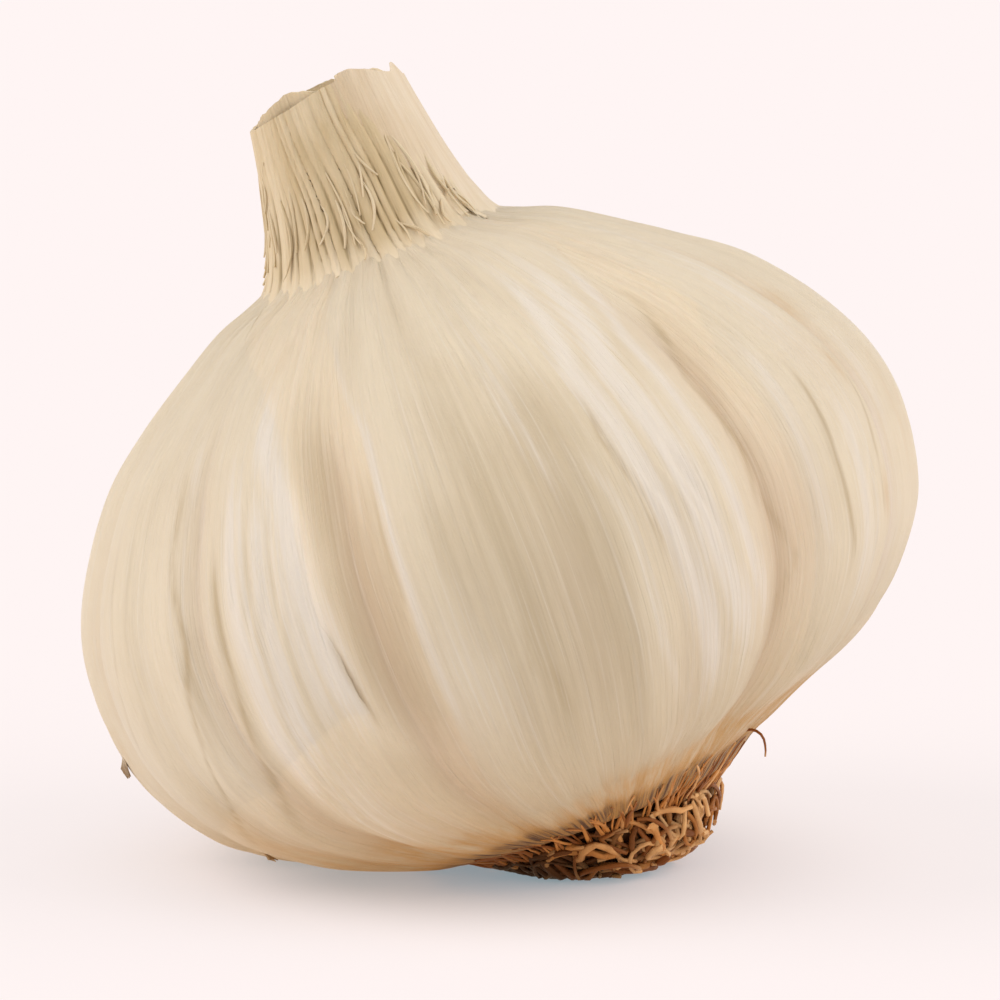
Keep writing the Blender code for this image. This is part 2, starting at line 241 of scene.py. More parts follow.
CREASE_STROKES = [
    ([(7.7, -65), (12.4, -57.6), (16.4, -53.2), (23.6, -49.2), (29, -51.1), (33, -50.5)], 0.6, 0.65),
    ([(8, -50), (14, -46.1), (18.6, -43.7), (22.9, -42.7), (28.3, -42.8)], 0.7, 0.55),
    ([(14.7, -24.2), (17, -24.7), (20.5, -25.5)], 0.5, 0.8),
    ([(19, 21.2), (22.4, 20.6), (27.2, 19.4), (29.5, 19.8)], 0.6, 0.7),
    ([(19.7, 38.4), (23.3, 39.6), (29.1, 38.8), (35, 44)], 0.8, 0.55),
    ([(12.2, 55.2), (15.1, 53.6), (19.5, 53), (25.7, 53.8)], 0.45, 0.55),
    ([(15.2, 64.1), (19.4, 64.6), (25, 67.4)], 0.5, 0.55),
    ([(11.5, 40.6), (14, 42.8), (19, 39.8)], 0.6, 0.4),
    ([(14.6, -0.9), (16.4, -0.3)], 0.7, 0.6),
    ([(10, 2.6), (13, 1.5), (15, 0.4)], 0.8, 0.3),
    ([(16, -72), (24, -67), (30, -68)], 0.6, 0.3),
    ([(18, -15), (24, -14.4), (30, -14.6)], 0.5, 0.45),
]
CRINKLE_STROKES = [
    ([(8, -36), (16, -34), (30, -33)], 8.5, 1.0),
    ([(8, -52), (18, -48), (30, -50)], 5.0, 0.7),
    ([(10, 30), (22, 28), (36, 33)], 8.0, 0.75),
    ([(22, 42), (30, 43), (38, 52)], 7.0, 0.8),
    ([(10, 60), (22, 58), (30, 64)], 9.0, 0.5),
    ([(26, 6), (33, 6), (38, 10)], 14.0, 0.25),
    ([(8, -80), (30, -82)], 12.0, 0.3),
]
hidden = random.Random(12)
HIDDEN_STROKES = [
    (SILVER_STROKES, 16, (1.2, 6), 0.95),
    (TAN_STROKES, 14, (1.0, 6), 0.8),
    (CREASE_STROKES, 15, (0.45, 0.8), 0.9),
    (CRINKLE_STROKES, 6, (6, 12), 1.0),
]
for kind, count, width, most in HIDDEN_STROKES:
    for number in range(count):
        place = 88 + 178 * (number + hidden.random()) / count
        low = hidden.uniform(4, 16)
        heights = np.linspace(low, low + hidden.uniform(10, 22), 4)
        drift = hidden.uniform(-2, 2)
        path = [(height, place + drift * k + hidden.uniform(-1.2, 1.2)) for k, height in enumerate(heights)]
        kind.append((path, hidden.uniform(*width), hidden.uniform(0.4, 1.0) * most))


def strokes(marks, degrees, height):
    """How strongly a set of strokes shows at each place, 0 to 1."""
    total = np.zeros_like(degrees)
    for path, wide, strength in marks:
        heights, places = np.array(path, float).T
        off = (degrees - np.interp(height / MM, heights, places) + 180) % 360 - 180
        low, high = heights[0] * MM, heights[-1] * MM
        soft = (1.6 + 0.8 * min(wide, 5)) * MM
        ends = fade(height, low - soft, low + soft) * (1 - fade(height, high - soft, high + soft))
        total = np.maximum(total, strength * ends * np.exp(-((off / wide) ** 2)))
    return total


print("strokes:", len(SILVER_STROKES), "silvery,", len(TAN_STROKES), "tan,", len(CREASE_STROKES), "creases")

# %% [markdown]
# ## Cloves, ridges, veins, crinkles and pleats
#
# What shows on a garlic skin is relief: soft valleys between the cloves, long ridges, narrow veins
# that run from the roots to the neck, crinkles where a loose skin has shrunk, and pleats where the
# skin gathers into the neck. A texture could only shade these, so they are added to the surface
# itself, as waves and narrow bumps. The valleys and the long ridges are the same as on the solid.

# %% Relief
CLOVE_VALLEYS = [
    (-152, 1.1),
    (-116, 1.4),
    (-80, 1.0),
    (-47, 1.1),
    (-20, 1.2),
    (40, 1.4),
    (70, 0.9),
    (101, 1.3),
    (136, 1.1),
    (172, 1.4),
]
VALLEY_SHARPNESS = 3.2
VALLEY_SPAN = (0.5, 5, 31, 41)
SKIN_RIDGES = range(17, 30)
RIDGE_SPAN = (1, 5, 34, 41)
SKIN_RIDGE_HEIGHT = 0.055 * MM
VEIN_COUNT = 210
VEIN_WIDTH = 0.42
VEIN_HEIGHT = 0.04 * MM
CRINKLE_HEIGHT = 0.095 * MM
CREASE_DEPTH = 0.06 * MM
PLEAT_HEIGHT = 0.1 * MM
PUCKER_HEIGHT = 0.07 * MM
EVERY_ANGLE = np.arange(-180, 180, 0.05)


def valley_share(degrees):
    """Which valley is nearest, and how near: 1 in the valley and 0 on top of the clove."""
    places = np.array([place for place, _ in CLOVE_VALLEYS], float)
    depths = np.array([depth for _, depth in CLOVE_VALLEYS], float) * MM
    after = np.searchsorted(places, degrees) % len(places)
    before = (after - 1) % len(places)
    width = (places[after] - places[before]) % 360
    share = ((degrees - places[before]) % 360) / width
    return np.where(share < 0.5, depths[before], depths[after]), np.abs(2 * share - 1)


def clove_valleys(degrees, height):
    """How far the skin sinks between the cloves, in metres."""
    depth, nearness = valley_share(degrees)
    return depth * within(height, *VALLEY_SPAN) * nearness**VALLEY_SHARPNESS


def fine_ridges(degrees, height):
    """Long ridges that run from the roots to the neck, as a sum of waves round the bulb."""
    draw = random.Random(7)
    relief = np.zeros_like(degrees)
    for waves in SKIN_RIDGES:
        phase, sway = draw.uniform(0, math.tau), draw.uniform(-20, 20)
        relief += SKIN_RIDGE_HEIGHT * np.cos(waves * np.radians(degrees) + phase + sway * height)
    return relief * within(height, *RIDGE_SPAN)


def vein_ring(seed):
    """One ring of narrow bumps and grooves at random angles, read at every angle."""
    draw = random.Random(seed)
    ring = np.zeros_like(EVERY_ANGLE)
    for _ in range(VEIN_COUNT):
        off = (EVERY_ANGLE - draw.uniform(0, 360) + 180) % 360 - 180
        width = VEIN_WIDTH * draw.uniform(0.5, 1.9)
        ring += draw.uniform(-0.8, 1.1) * np.exp(-((off / width) ** 2))
    return ring


VEIN_RINGS = [vein_ring(seed) for seed in (3, 4, 5)]


def veins(degrees, height):
    """Three rings of veins that take over from each other along the bulb, -1 to 1."""
    wander = degrees + 0.8 * np.sin(height / MM * 0.21 + np.radians(degrees) * 3)
    wander = (wander + 180) % 360 - 180
    total = 0
    for number, ring in enumerate(VEIN_RINGS):
        share = 0.5 + 0.5 * np.sin(height / MM * 0.13 + number * 2.1 + np.radians(degrees) * (5 + number))
        total = total + share * np.interp(wander, EVERY_ANGLE, ring)
    return total / 1.5


def uneven_waves(angle, waves, sway, slow_waves):
    """Waves round the bulb whose spacing widens and narrows."""
    return np.sin(waves * angle + sway * np.sin(slow_waves * angle))


def pleats(degrees, height):
    """Folds where the skin gathers: long ones into the neck, short ones into the roots."""
    angle = np.radians(degrees)
    into_neck = uneven_waves(angle, 29, 2.2, 3) + 0.8 * uneven_waves(angle, 47, 1.7, 5)
    into_roots = uneven_waves(angle, 41, 1.9, 7) + 0.7 * uneven_waves(angle, 67, 2.0, 4)
    near_neck = fade(height, 33 * MM, 41.5 * MM) * (1 - 0.7 * fade(height, 42 * MM, 44 * MM))
    near_roots = (1 - fade(height, 3 * MM, 9 * MM)) * fade(height, 0.6 * MM, 1.4 * MM)
    return PLEAT_HEIGHT * into_neck * near_neck + PUCKER_HEIGHT * into_roots * near_roots


def crinkles(degrees, height):
    """Irregular folds that wander along a shrunken skin, in metres."""
    up, angle = height / MM, np.radians(degrees)
    wander = angle + 0.03 * np.sin(up * 0.23 + 5 * angle) + 0.012 * np.sin(up * 0.66 + 9 * angle)
    folds = uneven_waves(wander, 107, 2.6, 19)
    folds += 0.7 * np.sin(163 * wander + 2 * np.sin(31 * wander + up * 0.2))
    swell = 0.55 + 0.45 * np.sin(up * 0.31 + 14 * angle + 2 * np.sin(6 * angle))
    return CRINKLE_HEIGHT * folds * swell * strokes(CRINKLE_STROKES, degrees, height)


def relief(degrees, height):
    """All the relief of the skin over the cloves, in metres."""
    degrees = (degrees + 180) % 360 - 180
    ends = fade(height, 1 * MM, 4 * MM)
    rise = fine_ridges(degrees, height) - clove_valleys(degrees, height)
    rise += crinkles(degrees, height) - CREASE_DEPTH * strokes(CREASE_STROKES, degrees, height)
    return rise + VEIN_HEIGHT * ends * veins(degrees, height) + pleats(degrees, height)


print("veins rise up to", round(max(ring.max() for ring in VEIN_RINGS) * VEIN_HEIGHT / MM, 2), "mm")

# %% [markdown]
# ## Small helpers
#
# Each piece starts as a primitive that an operator adds. Its points are then read into one array,
# moved by a formula and written back, which is quick even for a hundred thousand points.
# A piece carries named values at its points, such as how stained it is there. Materials read them,
# so the colour follows the surface wherever the piece is seen from.


# %% Reading, writing and painting points
def alone():
    """Deselects everything, so that the next operator acts on the new piece alone."""
    bpy.ops.object.select_all(action="DESELECT")


def pick(*pieces):
    """Selects these pieces alone, with the first as the active one."""
    alone()
    for piece in pieces:
        piece.select_set(True)
    bpy.context.view_layer.objects.active = pieces[0]


def new_piece(name):
    """Names the primitive that was just added."""
    piece = bpy.context.object
    piece.name = name
    piece.data.name = name
    return piece


def read_points(piece):
    points = np.empty(len(piece.data.vertices) * 3, np.float32)
    piece.data.vertices.foreach_get("co", points)
    return points.reshape(-1, 3).astype(float)


def write_points(piece, points):
    piece.data.vertices.foreach_set("co", points.astype(np.float32).ravel())
    piece.data.update()


def paint(piece, name, values):
    """Stores a number for each point, or one for them all, under a name that a material can read."""
    attributes = piece.data.attributes
    layer = attributes.get(name) or attributes.new(name, "FLOAT", "POINT")
    everywhere = np.broadcast_to(np.asarray(values, np.float32), len(piece.data.vertices))
    layer.data.foreach_set("value", np.ascontiguousarray(everywhere))


def paint_grain(piece, columns):
    """Stores three numbers for each point, in mm, the last of them along the grain."""
    layer = piece.data.attributes.new("grain", "FLOAT_VECTOR", "POINT")
    layer.data.foreach_set("vector", np.column_stack(columns).astype(np.float32).ravel())


def lay_grain(piece, degrees, run, radius=30.0):
    """Stores where each point lies round and along the bulb, for streaks that follow the skin."""
    angle = np.radians(degrees)
    paint_grain(piece, [radius * np.cos(angle), radius * np.sin(angle), run / MM])


def finish_modifier(piece, kind, **settings):
    """Adds one modifier and applies it."""
    modifier = piece.modifiers.new(kind.lower(), kind)
    for key, value in settings.items():
        setattr(modifier, key, value)
    pick(piece)
    bpy.ops.object.modifier_apply(modifier=modifier.name)


def smooth_but_sharp_rims(piece, angle=60):
    pick(piece)
    bpy.ops.object.shade_smooth_by_angle(angle=math.radians(angle))


def joined(pieces, name):
    """Makes one piece of several."""
    pick(*pieces)
    bpy.ops.object.join()
    return new_piece(name)


def degrees_round(points):
    """The angle of upright points round the axis, from straight ahead."""
    return np.degrees(np.arctan2(points[:, 0], -points[:, 1]))


def flat_sheet(name, columns, rows):
    """A grid, with the share across it and the share up it at each point."""
    alone()
    bpy.ops.mesh.primitive_grid_add(x_subdivisions=columns, y_subdivisions=rows, size=1)
    sheet = new_piece(name)
    flat = read_points(sheet)
    return sheet, flat[:, 0] + 0.5, flat[:, 1] + 0.5


def round_ball(name, segments, rings):
    """A sphere, with the angle round it and the share up it, along its side, at each point."""
    alone()
    bpy.ops.mesh.primitive_uv_sphere_add(segments=segments, ring_count=rings, radius=1)
    ball = new_piece(name)
    points = read_points(ball)
    return ball, degrees_round(points), 1 - np.arccos(np.clip(points[:, 2], -1, 1)) / math.pi


def settle(piece, material, slot, *nodes):
    """Gives a finished piece its material and its body, and hides the solids that it stands for."""
    piece.data.materials.clear()
    piece.data.materials.append(material)
    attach(piece, "root")
    if nodes:
        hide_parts(*nodes)
    triangles = sum(len(face.vertices) - 2 for face in piece.data.polygons)
    print(f"{piece.name}: {triangles} triangles")


def ragged(places, wave, seed, octaves=5):
    """A torn line, about -1 to 1: a sum of ever finer waves, the longest one wave long."""
    draw = random.Random(seed)
    line = np.zeros_like(places)
    for octave in range(octaves):
        turn = draw.uniform(0, math.tau)
        line += 0.6**octave * np.sin(places * math.tau * 2**octave / wave * draw.uniform(0.8, 1.25) + turn)
    return line / 1.7


# %% [markdown]
# ## Colours of dried garlic
#
# The skins are cream where they are thin and white where two lie over each other. They are tan over
# the cloves, golden near the roots, and slightly pink in the valleys, where painted shade also darkens
# them. The neck is straw and the roots are a warm brown. Colours below are linear values under plain
# white light.

# %% Colours
CREAM = (0.80, 0.69, 0.51, 1)
WHITE_SKIN = (0.84, 0.765, 0.655, 1)
TAN = (0.57, 0.46, 0.30, 1)
PINKISH = (0.66, 0.48, 0.34, 1)
BUFF = (0.69, 0.565, 0.39, 1)
WARM_TAN = (0.55, 0.42, 0.24, 1)
OLIVE = (0.40, 0.27, 0.11, 1)
GOLD = (0.60, 0.35, 0.12, 1)
AMBER = (0.56, 0.29, 0.07, 1)
DEEP_BROWN = (0.10, 0.035, 0.006, 1)
STRAW = (0.61, 0.48, 0.285, 1)
PALE_STRAW = (0.79, 0.67, 0.475, 1)
DARK_STRAW = (0.28, 0.20, 0.09, 1)
SHEATH_PALE = (0.80, 0.69, 0.53, 1)
SHEATH_TAN = (0.68, 0.53, 0.35, 1)
ROOT_DARK = (0.030, 0.009, 0.003, 1)
ROOT_BROWN = (0.23, 0.070, 0.016, 1)
ROOT_LIGHT = (0.70, 0.31, 0.085, 1)
ROOT_PALE = (0.86, 0.53, 0.24, 1)


def start_finish(name, roughness, specular=0.4):
    """A material with one Principled shader whose plain values are set on its own sockets."""
    material = bpy.data.materials.new(name)
    material.use_nodes = True
    shader = material.node_tree.nodes["Principled BSDF"]
    shader.inputs["Roughness"].default_value = roughness
    shader.inputs["Specular IOR Level"].default_value = specular
    return material, material.node_tree, shader


def value_of(tree, name):
    """Reads a value that paint() or lay_grain() stored."""
    node = tree.nodes.new("ShaderNodeAttribute")
    node.attribute_name = name
    return node


def streaks(tree, stretch, detail=4.0, roughness=0.55, turn=0.0):
    """Noise on the piece's grain. The stretch gives how fine it is round and along, per mm."""
    grain = value_of(tree, "grain")
    mapping = tree.nodes.new("ShaderNodeMapping")
    mapping.inputs["Scale"].default_value = (stretch[0], stretch[0], stretch[1])
    mapping.inputs["Location"].default_value = (turn, turn * 1.7, turn * 0.6)
    noise = tree.nodes.new("ShaderNodeTexNoise")
    noise.inputs["Scale"].default_value = 1.0
    noise.inputs["Detail"].default_value = detail
    noise.inputs["Roughness"].default_value = roughness
    tree.links.new(grain.outputs["Vector"], mapping.inputs["Vector"])
    tree.links.new(mapping.outputs["Vector"], noise.inputs["Vector"])
    return noise.outputs["Fac"]


def stepped(tree, value, low, high, out_low=0.0, out_high=1.0):
    """Spreads a value between two limits over a new range, with soft ends."""
    node = tree.nodes.new("ShaderNodeMapRange")
    node.interpolation_type = "SMOOTHSTEP"
    node.inputs["From Min"].default_value = low
    node.inputs["From Max"].default_value = high
    node.inputs["To Min"].default_value = out_low
    node.inputs["To Max"].default_value = out_high
    tree.links.new(value, node.inputs["Value"])
    return node.outputs["Result"]


def times(tree, first, second):
    node = tree.nodes.new("ShaderNodeMath")
    node.operation = "MULTIPLY"
    tree.links.new(first, node.inputs[0])
    if isinstance(second, float):
        node.inputs[1].default_value = second
    else:
        tree.links.new(second, node.inputs[1])
    return node.outputs[0]


def plus(tree, value, extra, amount):
    """A value with a share of another added to it."""
    node = tree.nodes.new("ShaderNodeMath")
    node.operation = "MULTIPLY_ADD"
    tree.links.new(extra, node.inputs[0])
    node.inputs[1].default_value = amount
    tree.links.new(value, node.inputs[2])
    return node.outputs[0]


def blended(tree, share, first, second):
    """One colour over another, by a share from 0 to 1. Each colour is a value or a socket."""
    node = tree.nodes.new("ShaderNodeMix")
    node.data_type = "RGBA"
    tree.links.new(share, node.inputs["Factor"])
    colour_sockets = [socket for socket in node.inputs if socket.type == "RGBA"]
    for colour, socket in zip((first, second), colour_sockets):
        if isinstance(colour, tuple):
            socket.default_value = colour
        else:
            tree.links.new(colour, socket)
    return [socket for socket in node.outputs if socket.type == "RGBA"][0]


def add_bump(tree, shader, height, depth):
    """Relief too fine for the mesh, depth in metres."""
    bump = tree.nodes.new("ShaderNodeBump")
    bump.inputs["Strength"].default_value = 1.0
    bump.inputs["Distance"].default_value = depth
    tree.links.new(height, bump.inputs["Height"])
    tree.links.new(bump.outputs["Normal"], shader.inputs["Normal"])


# %% [markdown]
# ## Stains
#
# Stains are round and golden or pink. They sit near the roots and on the shoulders, where the light
# and the soil reached the outer skin. The strokes and the stains are painted on every skin alike, so
# that one sheet runs on into the next.

# %% Stains
# Each stain is (degrees, height in mm, half width in degrees, half height in mm, strength).
GOLD_STAINS = [
    (-72, 5.2, 9, 2.4, 0.5),
    (-45, 3.0, 26, 1.7, 0.75),
    (-93, 16.5, 6, 2.6, 0.8),
    (74, 3.0, 22, 1.5, 0.9),
    (20, 2.6, 14, 1.2, 0.45),
    (38, 2.6, 12, 1.4, 0.8),
    (60, 3.0, 16, 1.5, 0.7),
    (72, 30.5, 2.4, 1.4, 0.45),
    (65.5, 25.6, 1.4, 1.6, 0.5),
    (66, 15.4, 1.6, 1.6, 0.4),
    (80, 20.0, 4, 5.0, 0.2),
    (-62, 8, 2.5, 5.0, 0.35),
]
PINK_STAINS = [
    (43, 17, 5, 6.5, 0.75),
    (60, 27, 5, 4, 0.35),
    (40, 30, 4, 5, 0.35),
    (-19, 22, 4, 6, 0.3),
    (-16, 10, 5, 4, 0.35),
    (8, 18, 5, 8, 0.3),
    (22, 9, 4, 7, 0.3),
]
for _ in range(16):
    stain_place = (hidden.uniform(110, 260), hidden.uniform(4, 34))
    stain_size = (hidden.uniform(2, 8), hidden.uniform(1.5, 5))
    stains = GOLD_STAINS if hidden.random() < 0.6 else PINK_STAINS
    stains.append((*stain_place, *stain_size, hidden.uniform(0.2, 0.5)))


def stain_share(stains, degrees, height):
    """How strongly a set of stains shows at each place, 0 to 1."""
    total = np.zeros_like(degrees)
    for place, high, wide, tall, strength in stains:
        off = (degrees - place + 180) % 360 - 180
        total += strength * np.exp(-((off / wide) ** 2) - ((height / MM - high) / tall) ** 2)
    return np.clip(total, 0, 1)


def rim_swell(degrees):
    """The dark rim band, partly painted shade between the fibres, reaches further up the skin at the front
    right, 0 to 1.
    """
    return np.exp(-((((degrees - 42 + 180) % 360 - 180) / 34) ** 2))


def paint_skin(piece, degrees, height, run):
    """Everything that the skin materials read."""
    lay_grain(piece, degrees, run)
    _, nearness = valley_share((degrees + 180) % 360 - 180)
    # Valleys between the cloves: a pinkish tint and painted shade.
    paint(piece, "valley", within(height, 2, 6, 30, 40) * nearness**8)
    rim = 1 - fade(height, 1.2 * MM, 4.6 * MM + 1.2 * MM * np.sin(np.radians(degrees) * 7))
    paint(piece, "gold", np.clip(rim * 0.8 + stain_share(GOLD_STAINS, degrees, height), 0, 1))
    paint(piece, "pink", stain_share(PINK_STAINS, degrees, height))
    # A dark band at the root rim: partly the skin's real dark edge, partly painted shade for the gaps
    # between the fringe fibres. It reaches higher on the left.
    left_rim = np.exp(-((((degrees + 35 + 180) % 360 - 180) / 32) ** 2))
    dark_band_to = 1.25 + 0.15 * rim_swell(degrees) + 0.5 * left_rim
    dark_band_to += 0.2 * ragged((degrees + 180) % 360 / 9, 3.0, 77, 4)
    paint(piece, "dark_brown_and_gap_shade", 1 - fade(height / MM, dark_band_to - 0.3, dark_band_to + 0.2))
    amber_to = dark_band_to + 0.35 + 0.15 * rim_swell(degrees)
    paint(piece, "amber", 1 - fade(height / MM, amber_to - 0.6, amber_to + 0.45))
    # Warmer and darker towards the bottom: partly the real golden tint near the roots, partly painted
    # shade.
    paint(piece, "low", 1 - fade(height, 4 * MM, 15 * MM))
    paint(piece, "silver", strokes(SILVER_STROKES, degrees, height))
    paint(piece, "tan", strokes(TAN_STROKES, degrees, height))
    # Crease lines: partly a real brown line, partly painted shade.
    paint(piece, "line", strokes(CREASE_STROKES, degrees, height))


print(len(GOLD_STAINS), "golden stains and", len(PINK_STAINS), "pink ones")


# %% Skin materials
def skin_finish(name, roughness):
    """A papery skin: strokes broken up by streaks along the grain, stains, painted shade in valleys,
    creases and rim gaps, painted highlights on torn edges, and a faint sheen.
    """
    material, tree, shader = start_finish(name, roughness, 0.35)
    broad = streaks(tree, (0.28, 0.016), 2.0, 0.5)
    fine = streaks(tree, (1.1, 0.028), 5.0, 0.65, 3.0)
    hair = streaks(tree, (4.2, 0.06), 3.0, 0.6, 8.0)
    blotch = streaks(tree, (0.16, 0.1), 3.0, 0.5, 15.0)
    silver = plus(tree, times(tree, value_of(tree, "silver").outputs["Fac"], 0.95), fine, 1.6)
    silver = stepped(tree, plus(tree, silver, hair, 0.9), 1.25, 2.3)
    tan = plus(tree, times(tree, value_of(tree, "tan").outputs["Fac"], 0.95), broad, 0.9)
    tan = stepped(tree, plus(tree, tan, fine, 1.1), 0.95, 2.05)
    # Towards the bottom: partly real golden tint, partly painted shade.
    colour = blended(tree, times(tree, value_of(tree, "low").outputs["Fac"], 0.55), CREAM, WARM_TAN)
    colour = blended(tree, times(tree, stepped(tree, blotch, 0.42, 0.68), 0.3), colour, BUFF)
    colour = blended(tree, tan, colour, TAN)
    colour = blended(tree, times(tree, silver, 0.9), colour, WHITE_SKIN)
    # Painted shade: pinker and darker in the valleys between the cloves.
    colour = blended(tree, times(tree, value_of(tree, "valley").outputs["Fac"], 0.3), colour, PINKISH)
    colour = blended(tree, times(tree, value_of(tree, "pink").outputs["Fac"], 0.4), colour, PINKISH)
    colour = blended(tree, times(tree, stepped(tree, hair, 0.55, 0.75), 0.25), colour, WHITE_SKIN)
    # Crease lines, broken up: partly real brown, partly painted shade in the crease.
    broken = stepped(tree, streaks(tree, (1.2, 0.16), 4.0, 0.6, 26.0), 0.34, 0.58, 0.15, 0.75)
    colour = blended(tree, times(tree, value_of(tree, "line").outputs["Fac"], broken), colour, OLIVE)
    uneven = stepped(tree, streaks(tree, (0.9, 0.2), 4.0, 0.6, 21.0), 0.3, 0.62, 0.15, 0.9)
    colour = blended(tree, times(tree, value_of(tree, "gold").outputs["Fac"], uneven), colour, GOLD)
    threads = streaks(tree, (1.5, 0.12), 4.0, 0.6, 41.0)
    woven = stepped(tree, threads, 0.3, 0.55, 0.35, 1.0)
    amber = times(tree, value_of(tree, "amber").outputs["Fac"], woven)
    colour = blended(tree, amber, colour, AMBER)
    # The dark rim band, broken by threads: partly real dark brown, partly painted shade in the gaps.
    dark_between_threads = stepped(tree, threads, 0.4, 0.58, 1.0, 0.25)
    colour = blended(tree, times(tree, value_of(tree, "dark_brown_and_gap_shade").outputs["Fac"], dark_between_threads), colour, DEEP_BROWN)
    # Painted highlight: torn edges turn towards the white skin colour.
    edge = times(tree, value_of(tree, "edge").outputs["Fac"], 0.22)
    colour = blended(tree, edge, colour, WHITE_SKIN)
    tree.links.new(colour, shader.inputs["Base Color"])
    add_bump(tree, shader, streaks(tree, (2.6, 0.06), 5.0, 0.65, 30.0), 0.0002)
    shader.inputs["Subsurface Weight"].default_value = 0.1
    shader.inputs["Subsurface Radius"].default_value = (1.0, 0.62, 0.36)
    shader.inputs["Subsurface Scale"].default_value = 0.001
    shader.inputs["Sheen Weight"].default_value = 0.08
    shader.inputs["Sheen Roughness"].default_value = 0.4
    return material


inner_finish = skin_finish("silky inner skin", 0.46)
outer_finish = skin_finish("dry outer skin", 0.56)
print("skin materials:", inner_finish.name, "and", outer_finish.name)

# %% [markdown]
# ## The inner skin over the cloves
#
# The bulb under its loose skins is one closed body. It starts as a UV sphere, because its rings and
# segments already run the way that a bulb grows. The rings are slid on to the outline, and the
# relief is added outward. Segments are finer than rings, since all the veins run lengthwise.

# %% Inner skin
BODY_SEGMENTS = 880
BODY_RINGS = 110
ROOT_HOLLOW = [(0.0, 2.3), (4.0, 2.25), (7.6, 2.2), (8.9, 1.2), (9.7, 0.7)]
UNDER_NECK = [(6.25, 45.7), (5.3, 48.0), (4.4, 50.0), (2.6, 51.2), (0.0, 51.4)]

body_line = np.vstack([smooth_line(ROOT_HOLLOW, 60)[:-1], skin_line[:-1], smooth_line(UNDER_NECK, 60)])
skin_from = distances(smooth_line(ROOT_HOLLOW, 60))[-1]

inner_skin, body_degrees, share_up = round_ball("inner_skin", BODY_SEGMENTS, BODY_RINGS)
body_degrees = body_degrees - FACING
body_run = share_up * distances(body_line)[-1]
_, body_height, _, _ = on_line(body_line, body_run)
on_skin = fade(body_run, skin_from - 0.4 * MM, skin_from + 0.6 * MM)
body_relief = relief(body_degrees, body_height) * on_skin
write_points(inner_skin, turned(body_line, body_run, body_degrees, body_relief))
paint_skin(inner_skin, body_degrees, body_height, body_run - skin_from)
inner_skin.data.shade_smooth()
settle(inner_skin, inner_finish, "papery_skin", "bulb")

# %% [markdown]
# ## Torn skins
#
# The outermost skins have cracked along their veins and torn off in strips. Each strip that is left
# is a thin sheet on the bulb. It starts as a grid, which is stretched between a left and a right
# edge. A torn edge wanders a little and curls off the surface, and an edge that isn't torn sinks
# into the skin below. Solidify gives the sheet its thickness.

# %% A torn sheet on the bulb
SKIN_THICKNESS = 0.06 * MM
SKIN_TOP = 43.2 * MM
TEAR_WANDER = 0.2 * MM  # how far a torn side strays from its edge
TEAR_LOW = 0.5 * MM  # and how far a torn lower end does
CURL_WIDTH = 0.9 * MM
# Along a torn edge a painted highlight makes the sheet paler.
EDGE_HIGHLIGHT_WIDTH = 0.3 * MM  # along a torn edge, the sheet is paler over this width
TUCK_WIDTH = 1.8 * MM  # a side that isn't torn sinks into the skin below over this width
FINE_ENOUGH = 0.4  # degrees between the points across a sheet


def read_edge(edge, height):
    """Degrees of an edge, given as (height in mm, degrees) from low to high, at heights (m)."""
    heights, degrees = np.array(edge, float).T
    return np.interp(height / MM, heights, degrees)


def torn_skin(name, left, right, low, torn, lift, curl, loose_to, base, seed):
    """A sheet between two edges, torn on the named sides. low gives (share across, height in mm).

    A torn edge curls off the surface below the height loose_to, and lies flush above it.
    """
    middle_width = right[len(right) // 2][1] - left[len(left) // 2][1]
    sheet, share_across, share_up = flat_sheet(name, int(middle_width / FINE_ENOUGH), 120)
    across = share_across * math.radians(middle_width) * 25
    shares, lows = np.array(low, float).T
    lowest = run_at(skin_line, np.interp(share_across, shares, lows) * MM)
    if "low" in torn:
        lowest = lowest + TEAR_LOW * ragged(across, 6.0, seed + 2)
    run = lowest + share_up * (run_at(skin_line, SKIN_TOP) - lowest)
    radius, height, _, _ = on_line(skin_line, run)
    first, last = read_edge(left, height), read_edge(right, height)
    wander = np.degrees(TEAR_WANDER / radius)
    if "left" in torn:
        first = first + wander * ragged(run / MM, 17.0, seed)
    if "right" in torn:
        last = last + wander * ragged(run / MM, 17.0, seed + 1)
    degrees = first + share_across * (last - first)
    width = np.radians(last - first) * radius
    rise = np.full_like(run, lift * MM)
    edge = np.zeros_like(run)
    loose = 1 - fade(height, (loose_to - 3) * MM, (loose_to + 3) * MM)
    sides = {
        "left": (share_across * width, run / MM),
        "right": ((1 - share_across) * width, run / MM + 40),
        "low": (run - lowest, across + 80),
    }
    for side, (distance, place) in sides.items():
        near = np.exp(-((distance / CURL_WIDTH) ** 2))
        if side in torn:
            waver = np.clip(0.4 + 0.6 * ragged(place, 15.0, seed + 5, 3), 0.05, 1.0)
            rise += curl * MM * near * waver * loose - (lift - base + 0.062) * MM * near * (1 - loose)
            # A torn edge gets a painted highlight over a narrow width.
            edge = np.maximum(edge, np.exp(-((distance / EDGE_HIGHLIGHT_WIDTH) ** 2)) * (0.25 + 0.75 * loose))
        else:
            rise -= (lift + 0.14) * MM * np.exp(-((distance / TUCK_WIDTH) ** 2))
    rise *= 1 - 0.6 * fade(height, 39 * MM, 42.5 * MM)
    rise += 0.08 * clove_valleys((degrees + 180) % 360 - 180, height)
    write_points(sheet, turned(skin_line, run, degrees, relief(degrees, height) + rise))
    paint_skin(sheet, degrees, height, run)
    paint(sheet, "edge", edge * (1 - fade(height, 38 * MM, 42 * MM)))
    finish_modifier(sheet, "SOLIDIFY", thickness=SKIN_THICKNESS, offset=1.0)
    smooth_but_sharp_rims(sheet)
    settle(sheet, outer_finish, "papery_skin")


